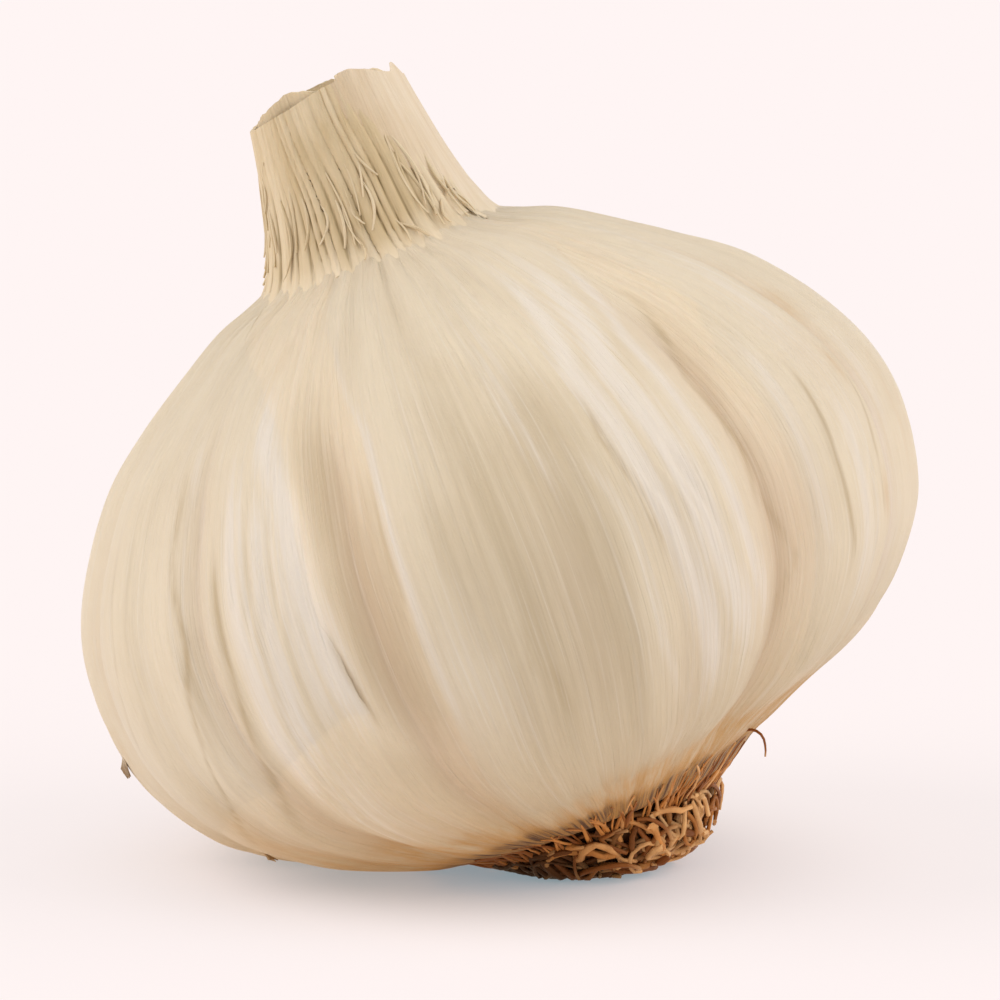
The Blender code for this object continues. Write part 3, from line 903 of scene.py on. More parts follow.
# %% The skins in front
# Edges are (height in mm, degrees), from low to high.
SPLIT_EDGE = [
    (2, -14.5),
    (10.6, -14.1),
    (15.5, -13.9),
    (20.1, -13.7),
    (23.8, -13.5),
    (28.3, -13.4),
    (33.5, -14.0),
    (37.8, -18.3),
    (40.8, -21.9),
    (43.5, -27),
]
WHITE_EDGE = [
    (14.9, -24.6),
    (20.6, -25.5),
    (25, -26.5),
    (27.7, -27.1),
    (31.9, -28.2),
    (35.1, -29.7),
    (38.2, -38),
    (41.2, -57),
    (43.5, -70),
]
BAND_LEFT = [
    (7, 24.5),
    (11.7, 22.1),
    (16.4, 20.3),
    (20.2, 20.4),
    (24.8, 19.9),
    (30.7, 17.4),
    (37.6, 24.6),
    (43.5, 30),
]
BAND_RIGHT = [
    (7, 38.5),
    (9.3, 37.3),
    (12.4, 34.9),
    (18.3, 33.9),
    (25.2, 33.8),
    (31.7, 34.4),
    (37.8, 43.1),
    (43.5, 55),
]
MIDDLE_RIGHT = [(2, 40), (30, 40), (43.5, 54)]
WHITE_FAR_LEFT = [(4, -96), (43.5, -110)]
WHITE_LOW = [(0, 5), (0.5, 9.5), (0.8, 12.5), (1, 14.9)]
RIGHT_NEAR = [(4, 45), (12, 44), (30, 44), (38, 54), (43.5, 64)]
RIGHT_FAR = [(5, 97), (30, 95), (43.5, 108)]
# Each skin is (name, left, right and low edge, torn sides, lift, curl, loose below this height, and the
# lift of the skin under it), in mm.
FRONT_SKINS = [
    ("middle_skin", SPLIT_EDGE, MIDDLE_RIGHT, [(0, 2.4), (1, 3)], ("left",), 0.05, 0.1, 0, 0),
    ("white_skin_left", WHITE_FAR_LEFT, WHITE_EDGE, WHITE_LOW, ("right",), 0.07, 0.12, 19, 0),
    ("white_skin_band", BAND_LEFT, BAND_RIGHT, [(0, 9), (1, 7)], ("right",), 0.12, 0.08, 0, 0.11),
    ("white_skin_right", RIGHT_NEAR, RIGHT_FAR, [(0, 5), (1, 7.5)], (), 0.07, 0.1, 0, 0),
]
for number, (name, left, right, low, torn, lift, curl, loose_to, base) in enumerate(FRONT_SKINS):
    torn_skin(name, left, right, low, torn, lift, curl, loose_to, base, 20 + 10 * number)

# %% The skins behind
# Their sides run straight. Each side is (its lowest height in mm, the degrees there and at the neck), and
# the last three values are the heights of the low corners, the torn sides and the curl.
BACK_SKINS = [
    ("white_skin_back_right", (5, 100, 113), (5, 152, 160), (8, 5), ("left", "right"), 0.16),
    ("white_skin_back", (4, 156, 164), (10, 203, 211), (5, 12), ("right", "low"), 0.18),
    ("white_skin_back_left", (8, 209, 217), (4, 262, 249), (9, 5), ("left",), 0.15),
]
for number, (name, left, right, corners, torn, curl) in enumerate(BACK_SKINS):
    left, right = [[(low, first), (43.5, last)] for low, first, last in (left, right)]
    torn_skin(name, left, right, list(enumerate(corners)), torn, 0.1, curl, 26, 0, 60 + 10 * number)

# %% Torn flakes on the low side
# Each flake is (degrees, height in mm, width and length in mm, how far its lower end stands off in mm).
FLAKES = [
    (-90, 15.6, 1.8, 1.4, 0.55),
    (-76, 6.4, 1.3, 1.0, 0.5),
    (-112, 10.5, 1.8, 1.2, 0.4),
    (228, 5.0, 2.0, 1.3, 0.4),
]
flakes = []
for number, (place, high, wide, tall, off) in enumerate(FLAKES):
    flake, share_across, share_up = flat_sheet(f"flake_{number}", 24, 16)
    torn_low = 0.35 * ragged(share_across * 3 + number, 1.6, 300 + number, 3)
    run = run_at(skin_line, high * MM) + (share_up - 0.5 + torn_low * (1 - share_up)) * tall * MM
    radius, height, _, _ = on_line(skin_line, run)
    taper = 0.55 + 0.45 * share_up
    degrees = place + np.degrees((share_across - 0.5) * taper * wide * MM / radius)
    stand = off * (1 - share_up) ** 1.6 * (0.7 + 0.3 * np.sin(share_across * 5 + number)) - 0.06 * share_up
    write_points(flake, turned(skin_line, run, degrees, relief(degrees, height) + (stand + 0.13) * MM))
    paint_skin(flake, degrees, height, run)
    paint(flake, "edge", 0)
    # The flakes are golden and dark brown, more so towards their lower ends.
    for name, value in (("gold", 1.0), ("dark_brown_and_gap_shade", 0.75)):
        paint(flake, name, value * (0.4 + 0.6 * (1 - share_up)))
    finish_modifier(flake, "SOLIDIFY", thickness=SKIN_THICKNESS, offset=1.0)
    flakes.append(flake)
torn_flakes = joined(flakes, "torn_flakes")
smooth_but_sharp_rims(torn_flakes)
settle(torn_flakes, outer_finish, "papery_skin")

# %% [markdown]
# ## The neck
#
# The neck is what is left of the leaves: dry, ribbed sheaths wrapped round each other and cut
# across. The outer one is a sleeve of fibres that tore off in rags where the bulb swells out. It
# starts as an open cylinder, cut into rows in edit mode. Each fibre is a rounded rib with its own
# width, height and lower end.

# %% Fibres of the sleeve
FIBRE_COUNT = 50
FIBRE_TWIST = 11  # degrees that a fibre turns round the neck on its way down
SLEEVE_AROUND = 464
SLEEVE_ROWS = 46
CUT_SWAY = 0.45 * MM
CUT_TURN = 4.06
# Where round the neck the outer sheath is cut higher: (degrees, mm above the plane of the cut).
FRONT_RISE = [
    (-30, 0),
    (-14, 0.2),
    (0, 0.45),
    (11, 0.55),
    (16, 1.1),
    (24, 1.2),
    (36, 0.95),
    (52, 0.5),
    (72, 0.15),
    (95, 0),
]
SLEEVE_TOP = 54.35 * MM
SLEEVE_WALL = 0.22 * MM
SLEEVE_SUNK = 0.08 * MM
SLEEVE_ENDS_SUNK = 0.4 * MM

fibre_draw = random.Random(31)
fibre_widths = np.array([fibre_draw.uniform(0.55, 1.6) for _ in range(FIBRE_COUNT)])
FIBRE_STARTS = np.concatenate([[0], np.cumsum(fibre_widths / fibre_widths.sum() * 360)])
FIBRE_HEIGHTS = np.array([fibre_draw.uniform(0.12, 0.32) for _ in range(FIBRE_COUNT)]) * MM
FIBRE_ENDS = np.array([fibre_draw.uniform(-0.8, 1.0) for _ in range(FIBRE_COUNT)]) * MM
FIBRE_SHADES = np.array([fibre_draw.random() for _ in range(FIBRE_COUNT)])


def fibre_at(degrees):
    """The number of the fibre at each angle, and the share across it."""
    degrees = degrees % 360
    number = np.clip(np.searchsorted(FIBRE_STARTS, degrees, side="right") - 1, 0, FIBRE_COUNT - 1)
    across = (degrees - FIBRE_STARTS[number]) / (FIBRE_STARTS[number + 1] - FIBRE_STARTS[number])
    return number, np.clip(across, 0, 1)


def rowed_cylinder(name, around, rows, ends="NOTHING"):
    """A cylinder with or without ends, its side cut into rows in edit mode."""
    alone()
    bpy.ops.mesh.primitive_cylinder_add(vertices=around, radius=1, depth=1, end_fill_type=ends)
    piece = new_piece(name)
    bpy.ops.object.mode_set(mode="EDIT")
    bpy.ops.mesh.select_mode(type="EDGE")
    bpy.ops.mesh.select_all(action="DESELECT")
    bpy.ops.object.mode_set(mode="OBJECT")
    for edge in piece.data.edges:
        low, high = (piece.data.vertices[k].co.z for k in edge.vertices)
        edge.select = abs(high - low) > 0.5
    bpy.ops.object.mode_set(mode="EDIT")
    bpy.ops.mesh.subdivide(number_cuts=rows - 1)
    bpy.ops.object.mode_set(mode="OBJECT")
    return piece


# %% Sleeve of the neck
def cut_height(degrees):
    """How the cut across the top rises and falls round the neck."""
    angle = np.radians(degrees + FACING) - math.pi / 2
    return CUT_SWAY * np.sin(2 * angle + CUT_TURN)


def front_rise(degrees):
    """How much higher than the plane of the cut the outer sheath is cut, most at the front right."""
    degrees = (degrees + 180) % 360 - 180
    places, rises = np.array(FRONT_RISE).T
    return np.interp(degrees, places, rises) * MM


neck_sleeve = rowed_cylinder("neck_sleeve", SLEEVE_AROUND, SLEEVE_ROWS)
tube = read_points(neck_sleeve)
sleeve_share = tube[:, 2] + 0.5
sleeve_degrees = degrees_round(tube) - FACING
waver = 1.6 * np.sin(sleeve_share * 3.1 + np.radians(sleeve_degrees) * 4) + 0.8 * np.sin(sleeve_share * 9)
waver -= FIBRE_TWIST * (1 - sleeve_share)
number, across = fibre_at(sleeve_degrees + waver)
_, fine_across = fibre_at((sleeve_degrees + waver) * 3 + 40)
rib = (4 * across * (1 - across)) ** 0.8
fine_rib = (4 * fine_across * (1 - fine_across)) ** 0.8
sleeve_top = run_at(neck_line, SLEEVE_TOP) + cut_height(sleeve_degrees) + front_rise(sleeve_degrees)
sleeve_low = 1.3 * MM + 1.0 * MM * np.sin(np.radians(sleeve_degrees)) + FIBRE_ENDS[number]
sleeve_low += 0.3 * MM * ragged(sleeve_degrees / 10, 9.0, 33)
sleeve_run = sleeve_low + sleeve_share * (sleeve_top - sleeve_low)
from_end = fade(sleeve_share, 0.0, 0.3)
sleeve_lift = FIBRE_HEIGHTS[number] * rib * (0.55 + 0.45 * (1 - sleeve_share)) * (0.5 + 0.5 * from_end)
sleeve_lift += 0.06 * MM * fine_rib - SLEEVE_SUNK - SLEEVE_ENDS_SUNK * (1 - from_end)
write_points(neck_sleeve, turned(neck_line, sleeve_run, sleeve_degrees, sleeve_lift))
lay_grain(neck_sleeve, sleeve_degrees, sleeve_run, 7.0)
# Painted shade in the grooves between the ribs, strongest at mid-height and weaker on the pale right side.
groove_shade_reach = 0.35 + 0.65 * fade(sleeve_share, 0.02, 0.2) * (1 - fade(sleeve_share, 0.45, 0.8))
pale_side = fade((sleeve_degrees + 180) % 360 - 180, 28, 50)
paint(neck_sleeve, "groove_shade", (1 - rib * (0.6 + 0.4 * fine_rib)) * groove_shade_reach * (1 - 0.4 * pale_side))
middle_of_neck = np.exp(-(((sleeve_degrees + 8 - 20 * (1 - sleeve_share) + 180) % 360 - 180) / 34) ** 2)
middle_of_neck *= fade(sleeve_share, 0.05, 0.3) * (1 - fade(sleeve_share, 0.65, 1.0))
sleeve_shade = (FIBRE_SHADES[number] * 0.8 + 0.9 * middle_of_neck) * (1 - 0.7 * pale_side)
paint(neck_sleeve, "shade", np.clip(sleeve_shade, 0, 1.5))
paint(neck_sleeve, "tip", np.maximum(1 - fade(sleeve_share, 0.0, 0.25), 0.6 * pale_side))
finish_modifier(neck_sleeve, "SOLIDIFY", thickness=SLEEVE_WALL, offset=-1.0)
smooth_but_sharp_rims(neck_sleeve, 70)


# %% Straw material
def straw_finish(name, pale, middle, dark, groove_strength):
    """Dry leaf sheath: each fibre has its shade, grooves are darkened with painted shade, and fine lines
    run along.
    """
    material, tree, shader = start_finish(name, 0.62, 0.3)
    lines = stepped(tree, streaks(tree, (4.5, 0.12), 4.0, 0.6), 0.33, 0.67)
    blotch = stepped(tree, streaks(tree, (0.5, 0.22), 3.0, 0.5, 9.0), 0.38, 0.66)
    colour = blended(tree, value_of(tree, "shade").outputs["Fac"], pale, middle)
    colour = blended(tree, times(tree, lines, 0.4), colour, middle)
    colour = blended(tree, times(tree, blotch, 0.35), colour, pale)
    # Painted shade in the grooves.
    groove_shade = times(tree, stepped(tree, value_of(tree, "groove_shade").outputs["Fac"], 0.35, 1.0), groove_strength)
    colour = blended(tree, groove_shade, colour, dark)
    colour = blended(tree, times(tree, value_of(tree, "tip").outputs["Fac"], 0.8), colour, CREAM)
    tree.links.new(colour, shader.inputs["Base Color"])
    add_bump(tree, shader, streaks(tree, (5.0, 0.15), 4.0, 0.6, 4.0), 0.00012)
    shader.inputs["Subsurface Weight"].default_value = 0.06
    shader.inputs["Subsurface Radius"].default_value = (1.0, 0.6, 0.3)
    shader.inputs["Subsurface Scale"].default_value = 0.0008
    return material


fibre_finish = straw_finish("fibrous straw", PALE_STRAW, STRAW, DARK_STRAW, 0.85)
smooth_straw = straw_finish("smooth pale straw", SHEATH_PALE, SHEATH_TAN, STRAW, 0.4)
settle(neck_sleeve, fibre_finish, "dried_sheath", "neck")

# %% [markdown]
# ## A strand to copy
#
# Loose neck fibres, roots and the fringe at the root rim are all thin strands. One strand is
# modelled straight, as a closed cylinder with rows and tapered ends. Every other one is a copy that
# is bent along its own path, and the copies of one kind are joined into one piece.


# %% Straight strand and its bent copies
def straight_strand(sides, rows):
    """Points of a closed strand (across, across, share along) and its faces."""
    strand = rowed_cylinder("strand", sides, rows - 1, "NGON")
    points = read_points(strand)
    points[:, 2] += 0.5
    faces = [tuple(face.vertices) for face in strand.data.polygons]
    bpy.data.objects.remove(strand)
    return points, faces


def bent_copy(points, path, thickness):
    """The straight strand's points, bent along a path, with a thickness at each path point."""
    along = distances(path)
    share = along / along[-1]
    tangent = np.gradient(path, along, axis=0)
    tangent /= np.linalg.norm(tangent, axis=1)[:, None]
    side = np.cross(tangent, (0.31, 0.42, 0.85))
    side /= np.linalg.norm(side, axis=1)[:, None]
    other = np.cross(tangent, side)
    middle, side, other = [
        np.column_stack([np.interp(points[:, 2], share, line[:, k]) for k in range(3)])
        for line in (path, side, other)
    ]
    size = 0.5 * np.interp(points[:, 2], share, thickness)[:, None]
    return middle + side * points[:, 0:1] * size + other * points[:, 1:2] * size


def joined_strands(name, template, paths):
    """One piece from many (path, thickness, shade), with shade and share along stored."""
    points, faces = template
    copies = [bent_copy(points, path, thickness) for path, thickness, _ in paths]
    starts = [number * len(points) for number in range(len(paths))]
    every_face = [tuple(start + k for k in face) for start in starts for face in faces]
    mesh = bpy.data.meshes.new(name)
    corners = np.vstack(copies)
    corners[:, 2] = np.maximum(corners[:, 2], 0)
    mesh.from_pydata(corners.tolist(), [], every_face)
    piece = bpy.data.objects.new(name, mesh)
    bpy.context.scene.collection.objects.link(piece)
    shades = np.repeat([shade for _, _, shade in paths], len(points))
    share = np.tile(points[:, 2], len(paths))
    lengths = np.repeat([distances(path)[-1] / MM for path, _, _ in paths], len(points))
    offsets = np.repeat(np.arange(len(paths)) * 3.7, len(points))
    paint(piece, "shade", shades)
    paint(piece, "tip", share)
    halves = [np.interp(points[:, 2], np.linspace(0, 1, len(thick)), thick) for _, thick, _ in paths]
    half = 0.5 / MM * np.concatenate(halves)
    side, other = np.tile(points[:, 0], len(paths)) * half, np.tile(points[:, 1], len(paths)) * half
    paint_grain(piece, [side + offsets, other, share * lengths])
    smooth_but_sharp_rims(piece)
    return piece


FINE_STRAND = straight_strand(6, 10)
ROOT_STRAND = straight_strand(8, 16)
print("a root strand has", len(ROOT_STRAND[0]), "points")

# %% [markdown]
# ## Loose fibres, the smooth sheath and the cut top
#
# Single fibres have come away from the sleeve and lie over it, and a few reach past its torn lower
# end. On the right a smooth pale sheath still covers the ribs, with a torn left edge and a point
# at the top. Inside the cut, the younger sheaths show as thin rings round a dark hollow.

# %% Loose fibres
LOOSE_FIBRES = 84
LOOSE_SIDE = (118, 418)  # degrees round the neck between which they start
loose_draw = random.Random(44)
fibre_paths = []
for _ in range(LOOSE_FIBRES):
    start = loose_draw.uniform(*LOOSE_SIDE)
    low_end = loose_draw.uniform(1.9, 5.0) if loose_draw.random() < 0.75 else loose_draw.uniform(4, 8)
    length = loose_draw.uniform(2.0, 6.5)
    steps = np.linspace(0, 1, 9)
    fibre_run = (low_end + length * steps) * MM
    drift = loose_draw.uniform(-9, 9)
    bow = loose_draw.uniform(-5, 5)
    fibre_degrees = start + drift * steps + bow * np.sin(math.pi * steps)
    stand = loose_draw.uniform(0.08, 0.2) + loose_draw.uniform(0, 0.25) * (1 - steps) ** 3 - 0.12 * steps**4
    path = turned(neck_line, fibre_run, fibre_degrees, stand * MM)
    thick = loose_draw.uniform(0.14, 0.3) * MM * (0.35 + 0.65 * np.sin(math.pi * (0.08 + 0.84 * steps)))
    fibre_paths.append((path, thick, loose_draw.random()))
loose_fibres = joined_strands("loose_neck_fibres", FINE_STRAND, fibre_paths)
paint(loose_fibres, "groove_shade", 0)
paint(loose_fibres, "tip", 0)
settle(loose_fibres, fibre_finish, "dried_sheath")

# %% Smooth sheath on the right of the neck
SHEATH_EDGE = [(43.3, 66), (43.9, 59.8), (46.5, 47.9), (49.7, 28.5), (52.9, 8.9), (55.0, 4.0)]
SHEATH_BACK = [(43.3, 190), (55.0, 205)]
SHEATH_POINT = (70, 0.9)  # degrees, and how far the point sticks up in mm
SHEATH_WALL = 0.1 * MM
SHEATH_RIPPLES = 26

smooth_sheath, share_across, share_up = flat_sheet("smooth_sheath", 150, 60)
high = run_at(neck_line, SLEEVE_TOP)
height = neck_line[0, 1] + share_up * (NECK_TOP - neck_line[0, 1])
first, last = read_edge(SHEATH_EDGE, height), read_edge(SHEATH_BACK, height)
first = first + 1.6 * ragged(height / MM, 4.0, 91)
degrees = first + share_across * (last - first)
low = 0.5 * MM + 0.3 * MM * ragged(degrees / 9, 7.0, 92)
peak = np.exp(-(((degrees - SHEATH_POINT[0]) / 6) ** 2)) * SHEATH_POINT[1] * MM
run = low + share_up * (high + cut_height(degrees) + front_rise(degrees) + peak - low)
near_edge = np.exp(-((share_across * np.radians(last - first) * 6 * MM / (1.3 * MM)) ** 2))
lift = 0.16 * MM + 0.04 * MM * uneven_waves(np.radians(degrees), SHEATH_RIPPLES, 3, 3)
lift -= near_edge * (0.2 + 0.4 * (1 - fade(share_up, 0.15, 0.5))) * MM
lift -= 0.6 * MM * (1 - fade(share_up, 0.0, 0.3))
write_points(smooth_sheath, turned(neck_line, run, degrees, lift))
lay_grain(smooth_sheath, degrees, run, 7.0)
# Painted shade in stripes across its ripples.
paint(smooth_sheath, "groove_shade", 0.3 + 0.3 * np.sin(np.radians(degrees) * SHEATH_RIPPLES))
paint(smooth_sheath, "shade", np.clip(1 - (degrees - first) / 45, 0, 1) * fade(share_up, 0.25, 0.75))
paint(smooth_sheath, "tip", 1 - fade(share_up, 0.0, 0.3))
finish_modifier(smooth_sheath, "SOLIDIFY", thickness=SHEATH_WALL, offset=1.0)
smooth_but_sharp_rims(smooth_sheath)
settle(smooth_sheath, smooth_straw, "dried_sheath")

# %% Young sheaths inside the cut
# Each is (radius, top and how ragged it is, in mm), from the outermost in.
CUT_RINGS = [(4.75, 54.5, 0.3), (4.0, 54.75, 0.25), (3.2, 54.3, 0.3), (2.4, 54.6, 0.3), (1.5, 54.2, 0.25)]
RING_FOOT = 50.5
RING_WALL = 0.24 * MM
cut_faces = []
for number, (radius, top, wobble) in enumerate(CUT_RINGS):
    ring = rowed_cylinder(f"cut_ring_{number}", 96, 6)
    tube = read_points(ring)
    angle = np.arctan2(tube[:, 1], tube[:, 0])
    degrees = np.degrees(angle)
    share_up = tube[:, 2] + 0.5
    wide = radius + 0.22 * np.sin(3 * angle + number * 1.3) + 0.1 * np.sin(7 * angle + number)
    tall = top + wobble * ragged(degrees / 20 + number, 9.0, 60 + number) + cut_height(degrees) / MM
    if number == 0:
        tall += 0.5 * np.exp(-(((degrees - FACING + 45) / 42) ** 2))
    upright = round_axis(wide, angle, RING_FOOT + share_up * (tall - RING_FOOT)) * MM
    write_points(ring, leant(settled(upright)))
    lay_grain(ring, degrees, share_up * 4 * MM, radius)
    # Painted shade: each ring darkens towards its foot, down in the hollow.
    paint(ring, "groove_shade", 0.75 * (1 - fade(share_up, 0.75, 1.0)))
    paint(ring, "shade", 0.35 + 0.1 * number)
    paint(ring, "tip", 0)
    finish_modifier(ring, "SOLIDIFY", thickness=RING_WALL, offset=0.0)
    cut_faces.append(ring)
cut_sheaths = joined(cut_faces, "cut_sheaths")
smooth_but_sharp_rims(cut_sheaths, 50)
settle(cut_sheaths, fibre_finish, "dried_sheath")

# %% [markdown]
# ## Root plate and root tuft
#
# Under the bulb sits a corky plate, and from it grows a dense tuft of dried roots, trimmed short.
# Each root leaves the plate, dives to the face of the tuft and curls along it, over and under the
# others. Paths are walked step by step with a slowly turning heading, and are kept inside the tuft,
# off the skin and on the table.

# %% Root plate
# Its outline is (radius, height) in mm, from the bottom up.
ROOT_CORE = [
    (0.0, -2.7),
    (3.4, -2.5),
    (6.0, -1.9),
    (7.6, -0.9),
    (8.3, 0.2),
    (8.3, 1.0),
    (7.4, 1.7),
    (0.0, 1.7),
]
ROOTS_PUSHED = 0.22  # the roots slant to the right by this share of their depth
root_plate, plate_degrees, share_up = round_ball("root_plate", 144, 72)
plate_line = smooth_line(ROOT_CORE, 400)
angle = np.radians(plate_degrees)
radius, plate_height, _, _ = on_line(plate_line, share_up * distances(plate_line)[-1])
lump = np.sin(9 * angle + radius / MM * 1.9) * np.cos(radius / MM * 2.3 + 4 * angle)
lump *= fade(radius, 0, 3 * MM)
radius = radius + 0.15 * MM * lump
height = plate_height + 0.25 * MM * lump * (plate_height < 1 * MM)
upright = round_axis(radius, angle, height)
upright[:, 0] += ROOTS_PUSHED * np.maximum(-upright[:, 2], 0)
write_points(root_plate, leant(upright))
lay_grain(root_plate, plate_degrees, radius, 8.0)
paint(root_plate, "shade", np.clip(0.2 + 0.2 * lump, 0, 1))
paint(root_plate, "tip", 0)
# The plate is painted almost black: painted shade, so the gaps between the roots look dark.
paint(root_plate, "deep", 1)
root_plate.data.shade_smooth()


# %% Root material
def root_finish(name):
    """Dried root: each has its own shade, its cut end is paler, fine wrinkles run along it, and painted
    shade darkens its deep parts.
    """
    material, tree, shader = start_finish(name, 0.4, 0.35)
    shader.inputs["Specular Tint"].default_value = (1.0, 0.66, 0.4, 1)
    lines = stepped(tree, streaks(tree, (1.4, 0.7), 4.0, 0.6), 0.35, 0.65)
    shade = value_of(tree, "shade").outputs["Fac"]
    colour = blended(tree, stepped(tree, shade, 0.0, 0.35), ROOT_DARK, ROOT_BROWN)
    colour = blended(tree, stepped(tree, shade, 0.35, 0.75), colour, ROOT_LIGHT)
    colour = blended(tree, stepped(tree, shade, 0.75, 1.0), colour, ROOT_PALE)
    patches = stepped(tree, streaks(tree, (0.5, 0.6), 3.0, 0.6, 13.0), 0.35, 0.65)
    colour = blended(tree, times(tree, patches, 0.4), colour, ROOT_BROWN)
    colour = blended(tree, times(tree, lines, 0.1), colour, ROOT_LIGHT)
    cut_end = times(tree, stepped(tree, value_of(tree, "tip").outputs["Fac"], 0.84, 1.0), 0.5)
    colour = blended(tree, cut_end, colour, ROOT_PALE)
    # Painted shade: the deep, low and left-hand parts of the tuft, and the whole plate, turn almost black.
    deep = value_of(tree, "deep").outputs["Fac"]
    colour = blended(tree, times(tree, deep, 0.93), colour, ROOT_DARK)
    tree.links.new(colour, shader.inputs["Base Color"])
    add_bump(tree, shader, streaks(tree, (2.4, 0.9), 4.0, 0.6, 5.0), 0.00015)
    return material


dried_root = root_finish("dried root")
settle(root_plate, dried_root, "dried_root")

# %% Roots
ROOT_COUNT = 400
ROOT_STEPS = 14
ROOT_FACE = [(0, -3.9), (3.8, -3.7), (6.3, -2.9), (7.6, -1.7), (8.3, -0.8), (8.8, -0.1)]
ROOTS_REACH = 8.8 * MM
ROOT_DISC = 7.4 * MM  # they grow from a disc of this radius
ROOT_THICKNESS = (0.3, 0.68)
ROOT_STRIDE = (0.35, 0.65)
ROOT_LAYERS = 1.15 * MM  # how deep the tuft goes under its face
ROOT_WAVE = 0.34 * MM
ROOT_TO_SKIN = 0.25 * MM
GOLDEN_ANGLE = math.radians(137.508)
root_draw = random.Random(21)
under_skin = np.vstack([[(0, 1.2 * MM), (8.4 * MM, 1.0 * MM)], skin_line[:400]])
root_face = np.array(ROOT_FACE) * MM
table_turn = Matrix.Translation(ROOT_END) @ Matrix.Rotation(-LEAN, 4, "Y")


def root_path(number):
    """Upright points of one root, how thick it is there, and how deep in the tuft it runs."""
    reach = ROOT_DISC * math.sqrt((number + 0.5) / ROOT_COUNT)
    around = number * GOLDEN_ANGLE
    place = Vector((reach * math.cos(around), reach * math.sin(around), 0))
    heading = around + root_draw.uniform(-1.9, 1.9)
    turn = root_draw.choice((-1, 1)) * root_draw.uniform(0.03, 0.34)
    step = root_draw.uniform(*ROOT_STRIDE) * MM
    layer = root_draw.random()
    thick = root_draw.uniform(*ROOT_THICKNESS) * MM
    ripple = root_draw.uniform(0, math.tau)
    points, sizes = [], []
    for k in range(ROOT_STEPS):
        share = k / (ROOT_STEPS - 1)
        spread = math.hypot(place.x, place.y)
        if spread > ROOTS_REACH:
            place.xy *= ROOTS_REACH / spread
            heading += 0.5
        dive = min(1, share * 3.4)
        size = thick * (1.1 - 0.45 * share) * (1 + 0.13 * math.sin(2.1 * k + ripple))
        face = float(np.interp(spread, root_face[:, 0], root_face[:, 1]))
        wave = ROOT_WAVE * math.sin(ripple + 6 * share)
        z = (1 - dive) * 0.3 * MM + dive * (face + ROOT_LAYERS * layer - 0.35 * MM + wave)
        point = Vector((place.x + ROOTS_PUSHED * max(-z, 0), place.y, z))
        below = 0.5 * size - (table_turn @ point).z
        if below > 0:
            point.z += below / math.cos(LEAN)
        ceiling = float(np.interp(math.hypot(point.x, point.y), under_skin[:, 0], under_skin[:, 1]))
        point.z = min(point.z, ceiling - 0.5 * size - ROOT_TO_SKIN)
        points.append(point)
        sizes.append(size)
        heading += turn + root_draw.uniform(-0.2, 0.2)
        turn *= 1.08
        place = place + Vector((math.cos(heading), math.sin(heading), 0)) * step
    return np.array(points), np.array(sizes), layer


root_strands, root_depths = [], []
for number in range(ROOT_COUNT):
    upright, sizes, layer = root_path(number)
    # This shade also paints light: roots on the right and in the outer layer are lighter, deeper ones
    # darker.
    right_side = float(fade(upright[:, 0].mean(), -3 * MM, 6 * MM))
    shade = root_draw.random() ** 1.2 * (0.14 + 1.1 * right_side) * (1.2 - 0.7 * layer)
    shade += 0.28 * right_side
    root_strands.append((leant(upright), sizes, min(1, shade)))
    root_depths.append(layer)
root_tuft = joined_strands("root_tuft", ROOT_STRAND, root_strands)
root_points = read_points(root_tuft)
# Painted shade: the tuft darkens deep inside, and near the table under its left side.
painted_table_shadow = 1 - fade(root_points[:, 2], 0, 4.5 * MM)
shaded_left_side = 1 - fade(root_points[:, 0], 4 * MM, 14 * MM)
deep = np.repeat(np.array(root_depths) ** 1.5, len(ROOT_STRAND[0]))
paint(root_tuft, "deep", np.clip(0.9 * deep + 0.8 * painted_table_shadow * (0.05 + 0.95 * shaded_left_side), 0, 1))
settle(root_tuft, dried_root, "dried_root", "roots")

# %% [markdown]
# ## Fringe along the root rim
#
# Where the skin ends at the roots, its veins run on as short golden-brown fibres that bridge a gap,
# darkened with painted shade, to the root plate. One thin curled root hangs free on the right.

